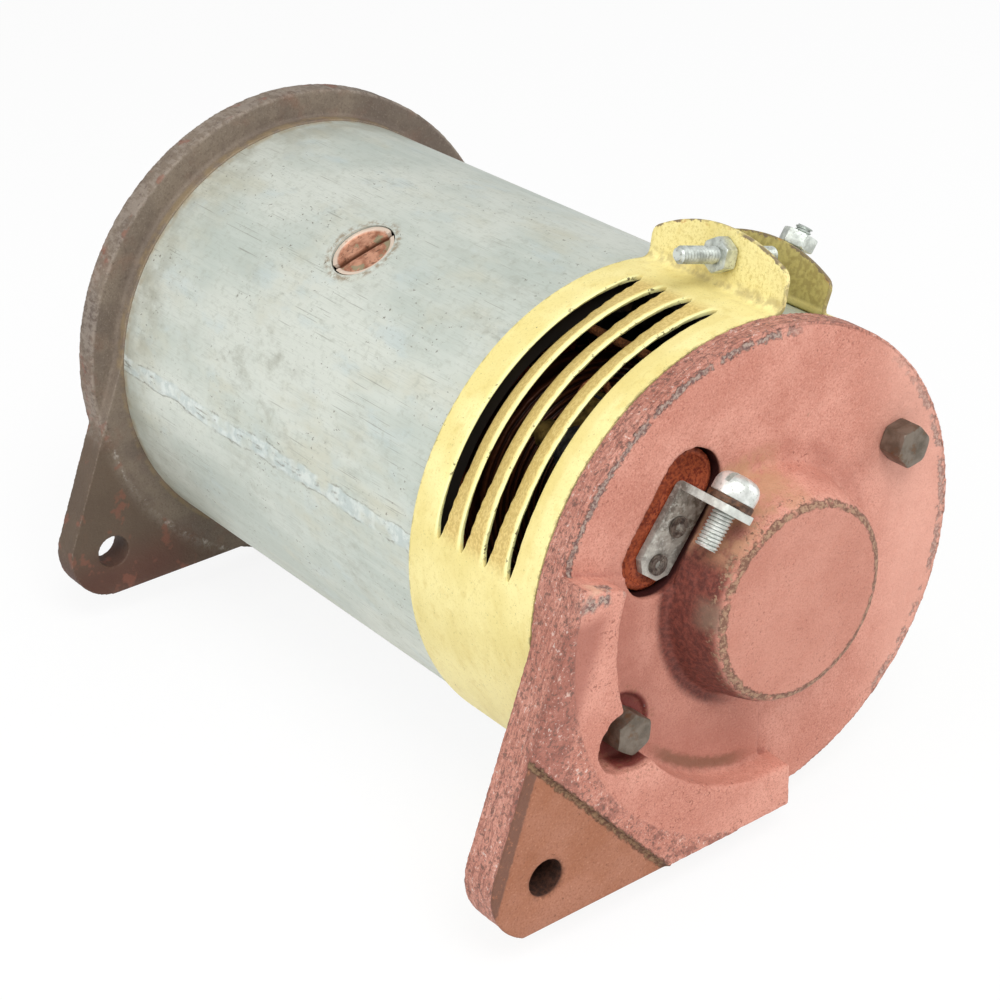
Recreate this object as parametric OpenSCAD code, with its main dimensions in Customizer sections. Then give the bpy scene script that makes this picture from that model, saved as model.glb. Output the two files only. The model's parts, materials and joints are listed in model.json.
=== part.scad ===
// Car dynamo: two-pole, belt driven, cooled by air drawn in through the louvred cover band.
// Millimetres. The shaft lies along Y, drive end towards +Y, and +Z is up.
// The origin is on the shaft axis, where the pulley seat starts.

/* [Yoke] */
// Outer diameter of the steel yoke
yoke_d = 112; // [108:0.5:118]
// Wall of the yoke
yoke_wall = 6; // [5.5:0.1:6.5]
// Length of the yoke tube
yoke_len = 168; // [164:1:200]
// Start of the brush windows, from the commutator end of the yoke
window_start = 5.5; // [4:0.5:8]
// Length of the brush windows along the yoke
window_len = 33; // [28:0.5:36]
// First edge of the upper brush window, degrees up from +X
window_from = 84; // [82:1:90]
// Last edge of the upper brush window, degrees
window_to = 172; // [160:1:176]

/* [Commutator end bell] */
// Diameter of the bell's disc
bell_d = 114.6; // [112:0.2:118]
// Thickness of the bell's disc
bell_t = 5.5; // [5:0.1:7]
// How far the mounting pad stands in front of the disc
pad_h = 8; // [6:0.5:10]
// Depth of the hollow behind the lug, under the pad's face
lug_t = 8.6; // [8.2:0.1:12]
// Diameter of the round recess inside the pad
dish_d = 90; // [86:0.5:92]
// Height of the bearing boss in front of the disc
boss_h = 13.5; // [12.5:0.5:18]
// Diameter of the boss at its flat face
boss_d = 47.2; // [44:0.2:49]
// Diameter of the boss where it meets the disc
boss_base_d = 53.5; // [51:0.5:55]
// How far the machined corner of the lug lies below the pad
machined_step = 0.6; // [0.2:0.1:1]

/* [Drive end bell] */
// Diameter of the drive end ring
ring_d = 127; // [122:0.5:132]
// Thickness of the ring
ring_t = 7.1; // [6:0.1:9]
// Height of the raised land that the yoke seats on
land_h = 3.1; // [2.5:0.1:4]
// Outer diameter of the drive bearing housing
hub_d = 58; // [56:0.5:62]
// How far the hub stands out behind the ring
hub_out = 2.8; // [2:0.1:6]
// Inner diameter of the cooling vents
vent_in_d = 64; // [63:0.5:68]
// Outer diameter of the cooling vents
vent_out_d = 92; // [86:0.5:93]
// Arc of each cooling vent, degrees
vent_arc = 50; // [30:1:54]

/* [Mounting lugs] */
// Thickness of the drive end lug
drive_lug_t = 8.2; // [7:0.1:10]
// Diameter of the pivot holes in both lugs
lug_bore_d = 8.7; // [8:0.1:9.5]
// Sideways distance of the pivot holes from the shaft axis
lug_x = 64.7; // [62:0.1:68]
// Distance of the pivot holes below the shaft axis
lug_z = 43.7; // [42:0.1:44.5]
// Height of the shaft axis above the flat feet
foot_z = 56; // [55.8:0.1:57]
// Metal around the drive end pivot hole
lug_rim = 7.9; // [7:0.1:10]
// Radius of the commutator end lug's tip, round the pivot hole
tip_r = 13.9; // [13:0.1:15]
// How far the commutator end foot reaches past the shaft axis
foot_reach = 3.4; // [2:0.1:8]

/* [Cover band] */
// Sheet thickness of the cover band
band_t = 1; // [0.8:0.1:1.4]
// Gap between the bell and the band
band_gap = 0.6; // [0.3:0.1:2]
// Width of the band along the yoke
band_w = 42.3; // [41:0.1:46]
// Angle of the first ear, degrees up from +X
ear_1_angle = 78.3; // [77:0.1:80]
// Angle of the second ear
ear_2_angle = 66.9; // [65:0.1:68]
// Height of the ears over the band at their middle
ear_h = 13.1; // [12:0.1:14]
// Height of the ears over the band at their ends
ear_end_h = 7.6; // [6:0.1:9]
// How much lower the second ear stands
ear_drop = 1.6; // [0:0.1:2]
// Number of louvre slots in each half of the band
louvres = 4; // [2:1:4]
// Spacing of the louvre slots
louvre_pitch = 8; // [7.5:0.05:8.2]
// Open width of a louvre slot
louvre_w = 2.2; // [1.6:0.1:3.6]
// First slot's distance from the band's front edge
louvre_start = 8.8; // [7:0.1:9.5]
// First edge of the upper slots, degrees
louvre_from = 89; // [88:1:100]
// Last edge of the upper slots, degrees
louvre_to = 166.4; // [150:0.2:168]

/* [Bolts and screws] */
// Diameter of the circle that the through bolts stand on
bolt_circle_d = 88.8; // [88.4:0.1:89]
// Angle of the first through bolt, degrees up from +X
bolt_angle = 27; // [26:0.5:28]
// Shank diameter of the through bolts
bolt_d = 5; // [4:0.1:5.2]
// Width across flats of the through bolts' heads
bolt_af = 8.4; // [7.5:0.1:9]
// Height of the through bolts' heads
bolt_head_h = 6; // [4:0.1:7]
// Diameter of the clamp screw on the cover band
clamp_d = 3.9; // [3.5:0.1:4.8]
// Width across flats of the clamp nuts
clamp_af = 7; // [6.5:0.1:8]
// Thickness of the clamp nuts
clamp_nut_h = 3.2; // [2.4:0.1:4]
// Gap between the cover band and the clamp nut beside it
clamp_gap = 3.7; // [1.5:0.1:4.5]
// Free end of the clamp screw past the first ear
clamp_stub = 15; // [8:0.1:17]
// How far its other end runs straight past the second ear
clamp_past = 5.5; // [4.5:0.1:7]
// Bend after that, degrees
clamp_bend = 68; // [50:1:75]
// Head diameter of the pole screws
pole_screw_head_d = 15.6; // [14:0.1:17]
// Shank diameter of the pole screws
pole_screw_d = 8; // [7:0.1:10]

/* [Terminal] */
// Width of the oblong terminal slot
slot_w = 16; // [15.8:0.1:16.4]
// Length of the terminal slot
slot_len = 33.2; // [32:0.1:35]
// Direction of the slot, degrees up from +X
slot_dir = 53.6; // [53.2:0.1:54]
// Slot centre along its own direction, from the shaft axis
slot_mid = 3.2; // [2.8:0.1:3.4]
// Slot centre's distance to the side of the shaft axis
slot_side = 32.5; // [32.3:0.1:32.8]
// How far the fibre lies below the bell's face
fibre_sunk = 2.4; // [2:0.1:3]
// Gap round the fibre in the slot
fibre_gap = 0.6; // [0.2:0.1:1]
// Thickness of the fibre's flange behind the disc
flange_t = 2; // [1.5:0.1:3]
// Width of the terminal bracket
bracket_w = 9.4; // [8:0.1:9.6]
// Thickness of the terminal bracket
bracket_t = 1.8; // [1.4:0.1:2.4]
// Direction of the bracket, degrees up from +X
bracket_dir = 51.2; // [50:0.2:54]
// Bracket's distance to the side of the shaft axis
bracket_side = 30.1; // [30:0.1:30.5]
// Lower end of the bracket, along its own direction from the shaft axis
bracket_low = -10.2; // [-10.4:0.1:-9]
// Outer face of the bracket's upright tab, along that direction
bracket_high = 10.6; // [9.5:0.1:12]
// How far the tab stands in front of the disc
tab_out = 13; // [12:0.1:16]
// Diameter of the terminal screw
terminal_d = 5; // [4:0.1:6]
// How far the terminal screw sits off the bracket's middle, towards the boss
terminal_side = 0.6; // [0:0.1:1]
// Head diameter of the terminal screw
terminal_head_d = 9.8; // [8:0.1:11]
// Distance of the terminal screw in front of the disc
terminal_out = 8.2; // [7:0.1:9]

/* [Field poles] */
// Angle of the first pole, degrees up from +X
pole_angle = 117; // [116:0.5:118]
// Length of the pole shoes along the shaft
pole_len = 74; // [70:1:80]
// Distance from the yoke's front end to the pole screws
pole_at = 101.5; // [98:0.5:104]
// Thickness of a pole shoe's horns
horn_t = 5.5; // [4.5:0.1:6]
// Half arc of a pole shoe, degrees
horn_arc = 52; // [45:1:54]
// Width of a pole's neck
neck_w = 30; // [26:0.5:34]
// Gap between a pole's horns and the coil behind them
coil_gap = 1.6; // [0.6:0.1:3]
// How far a field coil reaches past its pole at each end
coil_end = 13; // [8:0.5:15]
// Half arc of a field coil, degrees
coil_arc = 47; // [40:1:49]

/* [Armature] */
// Diameter of the armature core
core_d = 66; // [62:0.5:66]
// Length of the armature core
core_len = 78; // [74:1:82]
// Air gap between the core and the pole shoes
air_gap = 0.5; // [0.4:0.05:0.8]
// Number of winding slots in the core
core_slots = 14; // [10:1:16]
// Width of a winding slot
core_slot_w = 4.2; // [3:0.1:5]
// Depth of a winding slot
core_slot_h = 11; // [8:0.5:13]
// Diameter of the commutator
commutator_d = 39; // [38:0.2:40]
// Length of the commutator's brush track
commutator_len = 26; // [24:0.5:28]
// Start of the commutator, from the front of the bell's disc
commutator_at = 17; // [16:0.5:18]
// Number of commutator bars
bars = 28; // [14:14:28]
// Width of the gap between commutator bars
bar_gap = 0.7; // [0.4:0.1:0.9]

/* [Shaft] */
// Diameter of the shaft through the armature
shaft_d = 20; // [19:0.5:22]
// Diameter of the shaft under the commutator
shaft_front_d = 18; // [17:0.5:19]
// Diameter of the drive journal and the pulley seat
seat_d = 17; // [16:0.1:17.4]
// Length of the pulley seat
seat_len = 20; // [16:1:30]
// Diameter of the threaded end
thread_d = 14; // [10:0.5:15]
// Length of the threaded end
thread_len = 13; // [8:0.5:20]
// Thickness of the Woodruff key that the seat takes
key_t = 4; // [3:0.5:5]

/* [Bearings] */
// Bore of the commutator end bearing
front_bore = 15; // [14:0.5:15.4]
// Outer diameter of the commutator end bearing
front_od = 35; // [34:0.5:36]
// Width of the commutator end bearing
front_w = 11; // [10:0.5:11.5]
// Outer diameter of the drive end bearing
drive_od = 47; // [45:0.5:48]
// Width of the drive end bearing
drive_w = 14; // [13:0.5:14.5]
// Ball diameter of the commutator end bearing
front_ball = 5.9; // [5:0.1:6]
// Ball diameter of the drive end bearing
drive_ball = 8.6; // [8:0.1:9]
// Running clearance inside the bearings
play = 0.1; // [0.05:0.01:0.15]
// Diameter of the collar between bearing and pulley
collar_d = 25; // [23:0.5:26]

/* [Brush gear] */
// Brush size along the shaft
brush_len = 16; // [14:0.5:17]
// Brush thickness
brush_t = 6.4; // [5:0.1:7]
// Brush height
brush_h = 17.2; // [16:0.1:18]
// Gap between brush and commutator
brush_gap = 0.3; // [0.1:0.05:0.5]
// Clearance between a brush and its box
box_gap = 0.12; // [0.08:0.01:0.3]
// Wall of a brush box
box_wall = 1.6; // [1.2:0.1:2]
// Lift of a brush when its arm is held back
brush_lift = 4; // [3:0.1:4]
// Sideways distance of the spring post from the brush's middle
post_side = 12; // [11.5:0.1:12.5]
// Diameter of the spring post
post_d = 4; // [3:0.1:4.4]
// Thickness of the spring strip
spring_t = 0.5; // [0.4:0.05:0.6]
// Turns of the spiral spring
spring_turns = 2.5; // [2:0.25:3]

/* [Hidden] */
$fn = 96;

// Small clearances that several pieces share
fit = 0.02;         // pressed or seated round faces of one body
slack = 0.3;        // screws in their clearance holes
over = 1;           // how far a cutter runs past what it cuts
far = 200;          // longer than any outline

// Stations along the shaft, from the front face of the commutator end disc
yoke_r = yoke_d / 2;
bore_r = yoke_r - yoke_wall;
yoke_y = bell_t;
yoke_end = yoke_y + yoke_len;
ring_y = yoke_end + land_h;
ring_end = ring_y + ring_t;
hub_end = ring_end + hub_out;
cover_t = 1.2;                          // sheet of the dust cover
seal_gap = 0.2;
bearing_sunk = 1.7;                     // drive bearing's outer face, below the ring's
drive_y = ring_end - bearing_sunk - drive_w;
drive_end = drive_y + drive_w;
seat_y = hub_end + 2.5;                 // the collar stands this far out of the hub
seat_end = seat_y + seat_len;
shaft_end = seat_end + thread_len;
front_y = -boss_h + 6;                  // commutator end bearing, in the boss
front_end = front_y + front_w;
band_y = yoke_y + band_gap;
band_end = band_y + band_w;
pole_y = yoke_y + pole_at;              // middle of the poles
core_y = pole_y - core_len / 2;
core_end = core_y + core_len;
commutator_end = commutator_at + commutator_len + 4;

// Shared radii
bell_r = bell_d / 2;
dish_r = dish_d / 2;
land_r = yoke_r + 0.6;
core_r = core_d / 2;
pole_bore_r = core_r + air_gap;
horn_r = pole_bore_r + horn_t;
commutator_r = commutator_d / 2;
bolt_r = bolt_circle_d / 2;
spigot_out_r = bore_r - 0.1;
spigot_in_r = spigot_out_r - 2.7;
spigot_h = 4;

// Puts a child that is drawn from the disc's front face into the part's own frame
module station(y) translate([0, y - seat_y, 0]) children();
// A round bar along the shaft
module rod(r, y1, y2) station(y2) rotate([90, 0, 0]) cylinder(r = r, h = y2 - y1);
// A tube along the shaft
module tube(r_out, r_in, y1, y2) difference() {
    rod(r_out, y1, y2);
    rod(r_in, y1 - over, y2 + over);
}
// An outline in X and Z, given its thickness along the shaft
module slab(y1, y2) station(y2) rotate([90, 0, 0]) linear_extrude(height = y2 - y1) children();
// A profile of radius and station, turned about the shaft
module turned() station(0) rotate([-90, 0, 0]) rotate_extrude() children();
// Turns +X up to an angle, seen from the commutator end
module turn(a) rotate([0, -a, 0]) children();
// A hexagon by its width across flats
module hex(af, h) cylinder(d = af / cos(30), h = h, $fn = 6);
// A wedge of the X, Z plane between two angles
module wedge(a1, a2) polygon(concat([[0, 0]],
    [for (i = [0:8]) let (a = a1 + (a2 - a1) * i / 8) far * [cos(a), sin(a)]]));
// A block in a turned frame: from radius x1 to x2, across z1 to z2, along y1 to y2
module block(x1, x2, y1, y2, z1, z2) station(y1) translate([x1, 0, z1])
    cube([x2 - x1, y2 - y1, z2 - z1]);
// A round bar along the radius of a turned frame
module spoke(r, x1, x2) translate([x1, 0, 0]) rotate([0, 90, 0]) cylinder(r = r, h = x2 - x1);

// Yoke: a plain tube with two brush windows and countersunk pole screw holes
screw_head_t = 3.4;
module yoke() color([0.70, 0.73, 0.71]) difference() {
    tube(yoke_r, bore_r, yoke_y, yoke_end);
    for (half = [0, 180])
        slab(yoke_y + window_start, yoke_y + window_start + window_len) difference() {
            wedge(window_from + half, window_to + half);
            circle(r = bore_r - over);
        }
    for (half = [0, 180]) station(pole_y) turn(pole_angle + half) {
        spoke(pole_screw_d / 2 + slack, bore_r - over, yoke_r + over);
        spoke(pole_screw_head_d / 2 + slack, yoke_r - screw_head_t, yoke_r + over);
    }
    dowel_places() dowel_hole();
}

// Dowels: two at each end, half in the yoke's wall and half in the bell
dowel_d = 3;
dowel_len = 6;
dowel_r = yoke_r - yoke_wall / 2;
module dowel_places() for (y = [yoke_y, yoke_end], a = [bolt_angle + 15, bolt_angle + 195])
    station(y) turn(a) translate([dowel_r, 0, 0]) children();
module dowel_hole() rotate([90, 0, 0])
    cylinder(d = dowel_d + 2 * fit, h = dowel_len + 2 * fit, center = true);
module dowels() color([0.5, 0.5, 0.5]) dowel_places() rotate([90, 0, 0])
    cylinder(d = dowel_d, h = dowel_len, center = true);

// The pivot hole's place, and a lug's flank: a strip up to the line that touches both the
// casting's rim and the metal round the hole
lug_at = [-lug_x, -lug_z];
module flank(rim_r, end_r) {
    a = atan2(-lug_z, -lug_x) + 360 - acos((rim_r - end_r) / norm(lug_at));
    n = [cos(a), sin(a)];
    polygon([[0, 0], rim_r * n, lug_at + end_r * n, lug_at]);
}

// Outline of the commutator end lug: from the disc's edge round the tip and along the foot
pad_corner_r = 3;
pad_top_a = 159;                        // where the pad steps down to the disc
foot_start = -lug_x - sqrt(tip_r * tip_r - (foot_z - lug_z) * (foot_z - lug_z));
module lug_outline() intersection() {
    union() {
        circle(r = bell_r);
        flank(bell_r, tip_r);
        translate(lug_at) circle(r = tip_r);
        translate([foot_start, -foot_z])
            square([foot_reach - pad_corner_r - foot_start, foot_z - 30]);
        translate([foot_reach - pad_corner_r, pad_corner_r - foot_z]) circle(r = pad_corner_r);
        translate([-over, pad_corner_r - foot_z]) square([foot_reach + over, foot_z - 40]);
    }
    translate([-far, -foot_z]) square([2 * far, 2 * far]);
}
// The pad is that part of it which lies past the recess, left and below
module pad_outline() difference() {
    intersection() {
        lug_outline();
        union() {
            wedge(pad_top_a, 250);
            translate([-far, -far]) square([far + foot_reach, far - 40]);
        }
    }
    circle(r = dish_r);
    bolt_pocket();
}
// Pocket for the through bolt's head, open towards the recess
pocket_r = 7;
module bolt_pocket() for (place = [[0, 0], [3.2, -2.4]]) rotate(bolt_angle + 180)
    translate([bolt_r, 0] + place) circle(r = pocket_r);
// The machined corner round the pivot hole
module machined_corner() intersection() {
    lug_outline();
    polygon([[-lug_x - 4, -lug_z + 30.8], [-lug_x + 33.4, -foot_z - over],
        [-far, -foot_z - over], [-far, -lug_z + 30.8]]);
}

// The oblong slot's outline, grown or shrunk by one amount all round
module slot_outline(grow) rotate(slot_dir) translate([slot_mid, slot_side]) {
    half = (slot_len - slot_w) / 2;
    for (end = [-half, half]) translate([end, 0]) circle(r = slot_w / 2 + grow);
    square([2 * half, slot_w + 2 * grow], center = true);
}

// Commutator end bell: disc, boss, mounting pad and pivot lug in one casting
boss_round = 2;
grease_r = 14;
inner_hub_h = 2.5;
module commutator_end_bell() color([0.80, 0.50, 0.45]) difference() {
    union() {
        rod(bell_r, 0, bell_t);
        tube(spigot_out_r, spigot_in_r, bell_t - over, bell_t + spigot_h);
        rod(front_od / 2 + 4.5, 0, bell_t + inner_hub_h);
        turned() polygon([[0, -boss_h], [boss_d / 2 - boss_round, -boss_h],
            [boss_d / 2 - boss_round * 0.3, -boss_h + boss_round * 0.3],
            [boss_d / 2 + boss_round * 0.1, -boss_h + boss_round],
            [boss_base_d / 2, 0], [boss_base_d / 2, bell_t / 2], [0, bell_t / 2]]);
        slab(-pad_h, bell_t / 2) pad_outline();
        slab(-over, lug_t - pad_h) intersection() {
            lug_outline();
            wedge(pad_top_a, 270);
        }
        slab(bell_t - over, bell_t + flange_t) turn_flat(pole_angle + 180) holder_foot();
    }
    rod(front_od / 2 + fit, front_y, bell_t + inner_hub_h + over);
    rod(grease_r, front_y - 2.5, front_y + over);
    slab(-over, bell_t + over) slot_outline(0);
    slab(-pad_h - over, machined_step - pad_h) machined_corner();
    for (half = [0, 180]) turn(bolt_angle + half) translate([bolt_r, 0, 0])
        rod(bolt_d / 2 + slack, -over, bell_t + over);
    slab(-pad_h - over, 0) bolt_pocket();
    translate([-lug_x, 0, -lug_z]) rod(lug_bore_d / 2, -pad_h - over, lug_t - pad_h + over);
    turn(pole_angle + 180) holder_screw_places()
        rod(holder_screw_d / 2 + fit, bell_t - holder_screw_deep - 0.5, bell_t + flange_t + over);
    turn(pole_angle) holder_screw_places()
        rod(holder_screw_d / 2 + fit, bell_t - holder_screw_deep - 0.5, bell_t + flange_t + over);
    dowel_places() dowel_hole();
}

// Drive end bell: ring, raised land, pivot lug, vents and bearing housing
lug_end_r = lug_bore_d / 2 + lug_rim;
module drive_lug() intersection() {
    union() {
        circle(r = land_r);
        flank(land_r - 1.8, lug_end_r);
        translate(lug_at) circle(r = lug_end_r);
        translate([-lug_x, -foot_z]) square([lug_x, foot_z - 20]);
    }
    translate([-far, -foot_z]) square([2 * far, 2 * far]);
}
module drive_end_bell() color([0.36, 0.31, 0.31]) difference() {
    union() {
        rod(ring_d / 2, ring_y, ring_end);
        rod(land_r, yoke_end, ring_end);
        slab(yoke_end, yoke_end + drive_lug_t) intersection() {
            drive_lug();
            wedge(150, 270);
        }
        tube(spigot_out_r, spigot_in_r, yoke_end - spigot_h, yoke_end + over);
        rod(hub_d / 2, drive_y, hub_end);
    }
    rod(drive_od / 2 + fit, drive_y - over, drive_end);
    rod(seal_out_r, drive_end - over, hub_end + over);
    for (quarter = [0:3]) slab(yoke_end - over, ring_end + over) difference() {
        intersection() {
            circle(d = vent_out_d);
            rotate(bolt_angle + 45 + 90 * quarter) wedge(-vent_arc / 2, vent_arc / 2);
        }
        circle(d = vent_in_d);
    }
    for (half = [0, 180]) turn(bolt_angle + half) translate([bolt_r, 0, 0])
        rod(bolt_d / 2 + fit, yoke_end - spigot_h - over, ring_end + over);
    translate([-lug_x, 0, -lug_z]) rod(lug_bore_d / 2, yoke_end - over, ring_end + over);
    retainer_screw_places() rod(retainer_screw_d / 2 + fit, drive_y - over,
        drive_y + retainer_screw_len + 1);
    dowel_places() dowel_hole();
}

// Cover band: a louvred strip round the yoke, its two ends turned up as ears
band_r = yoke_r + band_t;
ear_mid = (band_y + band_end) / 2 - 1.5;
ear_r = (band_w * band_w / 4 + (ear_h - ear_end_h) * (ear_h - ear_end_h))
    / (2 * (ear_h - ear_end_h));
ear_lap = 0.15;                         // how far an ear stands into the gap between the ends
ear_inset = 0.3;                        // how far its ends stand back from the band's edges
module ear(a, side, drop) turn(a) intersection() {
    block(yoke_r + band_t * 0.4, band_r + ear_h + over, band_y + ear_inset, band_end - ear_inset,
        side > 0 ? -ear_lap : ear_lap - band_t, side > 0 ? band_t - ear_lap : ear_lap);
    translate([band_r + ear_h - drop - ear_r, 0, 0]) station(ear_mid)
        cylinder(r = ear_r, h = 3 * band_t, center = true);
}
module cover_band() color([0.88, 0.80, 0.45]) difference() {
    union() {
        slab(band_y, band_end) difference() {
            circle(r = band_r);
            circle(r = yoke_r + fit);
            wedge(ear_2_angle, ear_1_angle);
        }
        ear(ear_1_angle, 1, 0);
        ear(ear_2_angle, -1, ear_drop);
    }
    for (half = [0, 180], i = [0:louvres - 1]) {
        y = band_y + louvre_start + i * louvre_pitch;
        slab(y - louvre_w / 2, y + louvre_w / 2) difference() {
            wedge(louvre_from + half, louvre_to + half);
            circle(r = bore_r);
        }
    }
    clamp_frame() rotate([0, 90, 0])
        cylinder(d = clamp_d + 2 * slack, h = far, center = true);
}

// Clamp screw: it passes through both ears; its second end is bent up, as in the photo
clamp_y = 24.6;
clamp_up = band_r + clamp_gap + clamp_af / 2;      // radius at which it crosses the first ear
clamp_dir = 164.6;                      // its direction out of the first ear
ear_gap = ear_1_angle - ear_2_angle;
clamp_reach = clamp_up * sin(ear_gap) / cos(clamp_dir - 90 - ear_2_angle) + clamp_past;
module clamp_frame() station(clamp_y) turn(ear_1_angle) translate([clamp_up, 0, 0])
    turn(clamp_dir - ear_1_angle) children();
// The bent end starts past the second ear
module clamp_bent() clamp_frame() translate([-clamp_reach, 0, 0]) turn(clamp_bend) mirror([1, 0, 0])
    children();
clamp_tail = 6.8;
module clamp_screw() color([0.75, 0.77, 0.78]) {
    clamp_frame() spoke(clamp_d / 2, -clamp_reach, clamp_stub - 0.6);
    clamp_frame() translate([clamp_stub - 0.6, 0, 0]) rotate([0, 90, 0])
        cylinder(r1 = clamp_d / 2, r2 = clamp_d / 2 - 0.6, h = 0.6);
    clamp_frame() translate([-clamp_reach, 0, 0]) sphere(d = clamp_d);
    clamp_bent() spoke(clamp_d / 2, 0, clamp_tail);
}
clamp_nut_1 = band_t + 0.3;
clamp_nut_2 = 2;
module clamp_nut() rotate([0, 90, 0]) difference() {
    hex(clamp_af, clamp_nut_h);
    translate([0, 0, -over]) cylinder(d = clamp_d + 2 * fit, h = clamp_nut_h + 2 * over);
}
module clamp_nuts() color([0.72, 0.75, 0.74]) {
    clamp_frame() translate([clamp_nut_1, 0, 0]) clamp_nut();
    clamp_bent() translate([clamp_nut_2, 0, 0]) clamp_nut();
}

// Through bolts: hexagon heads on the commutator end, screwed into the drive end bell
module through_bolts() color([0.33, 0.30, 0.26]) for (half = [0, 180]) turn(bolt_angle + half)
    translate([bolt_r, 0, 0]) {
        rod(bolt_d / 2, -over, ring_end - 0.7);
        station(0) rotate([90, 0, 0]) rotate(half == 0 ? 12 : 26) hex(bolt_af, bolt_head_h);
    }

// Pole shoes: a neck against the yoke and a curved shoe over the armature
module pole_shoe(half) color([0.35, 0.34, 0.33]) turn(pole_angle + half) difference() {
    union() {
        intersection() {
            tube(horn_r, pole_bore_r, pole_y - pole_len / 2, pole_y + pole_len / 2);
            slab(0, yoke_end) wedge(-horn_arc, horn_arc);
        }
        difference() {
            intersection() {
                rod(bore_r - fit, pole_y - pole_len / 2, pole_y + pole_len / 2);
                block(pole_bore_r, yoke_r, 0, yoke_end, -neck_w / 2, neck_w / 2);
            }
            rod(pole_bore_r, 0, yoke_end);
        }
    }
    station(pole_y) spoke(pole_screw_d / 2 + fit, pole_bore_r + 3, bore_r + over);
}
module pole_shoe_1() pole_shoe(0);
module pole_shoe_2() pole_shoe(180);

// Pole screws: slotted countersunk heads, sunk in the yoke
module pole_screws() color([0.55, 0.36, 0.28]) for (half = [0, 180])
    station(pole_y) turn(pole_angle + half) difference() {
        union() {
            spoke(pole_screw_d / 2, pole_bore_r + 4, yoke_r - screw_head_t + fit);
            translate([yoke_r - screw_head_t, 0, 0]) rotate([0, 90, 0])
                cylinder(d1 = pole_screw_head_d - 1.5, d2 = pole_screw_head_d, h = screw_head_t - 0.6);
        }
        translate([yoke_r - 2.2, 0, 0]) rotate([70, 0, 0])
            translate([0, -far / 2, -1]) cube([far, far, 2]);
    }

// Field coils: taped windings bent to the yoke, one round each pole
coil_fit = 0.4;                         // under the yoke
neck_fit = 0.5;                         // round the pole's neck
module field_coil(half) color([0.30, 0.22, 0.15]) turn(pole_angle + half) difference() {
    intersection() {
        tube(bore_r - coil_fit, horn_r + coil_gap, pole_y - pole_len / 2 - coil_end,
            pole_y + pole_len / 2 + coil_end);
        slab(0, yoke_end) wedge(-coil_arc, coil_arc);
    }
    block(pole_bore_r, yoke_r, pole_y - pole_len / 2 - neck_fit,
        pole_y + pole_len / 2 + neck_fit, -neck_w / 2 - neck_fit, neck_w / 2 + neck_fit);
}
module field_coil_1() field_coil(0);
module field_coil_2() field_coil(180);

// The link between the two coils passes outside the through bolt
wire_r = 1.1;
link_y = pole_y + pole_len / 2 + coil_end - 3;
module coil_link() color([0.42, 0.24, 0.12]) station(link_y) rotate([90, 0, 0])
    rotate(pole_angle + coil_arc + 0.4)
    rotate_extrude(angle = 180 - 2 * coil_arc - 0.8) translate([bore_r - 1.5, 0])
    circle(r = wire_r, $fn = 24);

// Field leads: from a coil's front end to the brush gear
lead_r = bore_r - 4;
lead_y = pole_y - pole_len / 2 - coil_end;
module field_lead(half, a) color([0.42, 0.24, 0.12]) turn(pole_angle + half + a)
    translate([lead_r, 0, 0]) rod(wire_r, bell_t + flange_t + 2.2, lead_y - 0.1);
module field_lead_1() field_lead(0, -17);
module field_lead_2() field_lead(180, -17);

// Terminal insulator: red fibre, sunk in the slot, with a flange behind the disc
module terminal_insulator() color([0.42, 0.16, 0.09]) difference() {
    union() {
        slab(fibre_sunk, bell_t + flange_t / 2) slot_outline(-fibre_gap);
        slab(bell_t, bell_t + flange_t) difference() {
            union() {
                slot_outline(3);
                turn_flat(pole_angle) holder_foot();
            }
            circle(r = front_od / 2 + 5);
        }
    }
    terminal_rivet_places() rod(rivet_d / 2 + fit, -over, bell_t + flange_t + over);
    turn(pole_angle) holder_screw_places()
        rod(holder_screw_d / 2 + slack, bell_t - over, bell_t + flange_t + over);
}

// Terminal bracket: an angle strip riveted to the fibre, drilled for the terminal screw
bracket_round = 2.5;                    // its lower end's corners, cut back
module terminal_frame() turn(bracket_dir) translate([0, 0, bracket_side]) children();
module screw_frame() terminal_frame() translate([0, 0, -terminal_side]) station(-terminal_out)
    children();
module terminal_bracket() color([0.62, 0.64, 0.62]) difference() {
    terminal_frame() {
        block(bracket_low + bracket_round, bracket_high, fibre_sunk - bracket_t, fibre_sunk,
            -bracket_w / 2, bracket_w / 2);
        block(bracket_low, bracket_low + bracket_round * 1.2, fibre_sunk - bracket_t, fibre_sunk,
            -bracket_w / 2 + bracket_round, bracket_w / 2 - bracket_round);
        block(bracket_high - bracket_t, bracket_high, -tab_out, fibre_sunk,
            -bracket_w / 2, bracket_w / 2);
    }
    screw_frame() spoke(terminal_d / 2 + fit, bracket_high - bracket_t - over,
        bracket_high + over);
    terminal_rivet_places() rod(rivet_d / 2 + fit, fibre_sunk - bracket_t - over, fibre_sunk + over);
}

// Rivets: they hold the bracket and join it to the brush gear behind
rivet_d = 3;
rivet_x = [bracket_low + 3.2, bracket_low + 12];
module terminal_rivet_places() terminal_frame() for (x = rivet_x) translate([x, 0, 0]) children();
module terminal_rivets() color([0.6, 0.6, 0.57]) terminal_rivet_places() {
    rod(rivet_d / 2, fibre_sunk - bracket_t - 0.3, bell_t + flange_t + 0.4);
    rod(rivet_d / 2 + 0.8, fibre_sunk - bracket_t - 0.7, fibre_sunk - bracket_t);
    rod(rivet_d / 2 + 0.8, bell_t + flange_t, bell_t + flange_t + 0.8);
}

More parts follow.
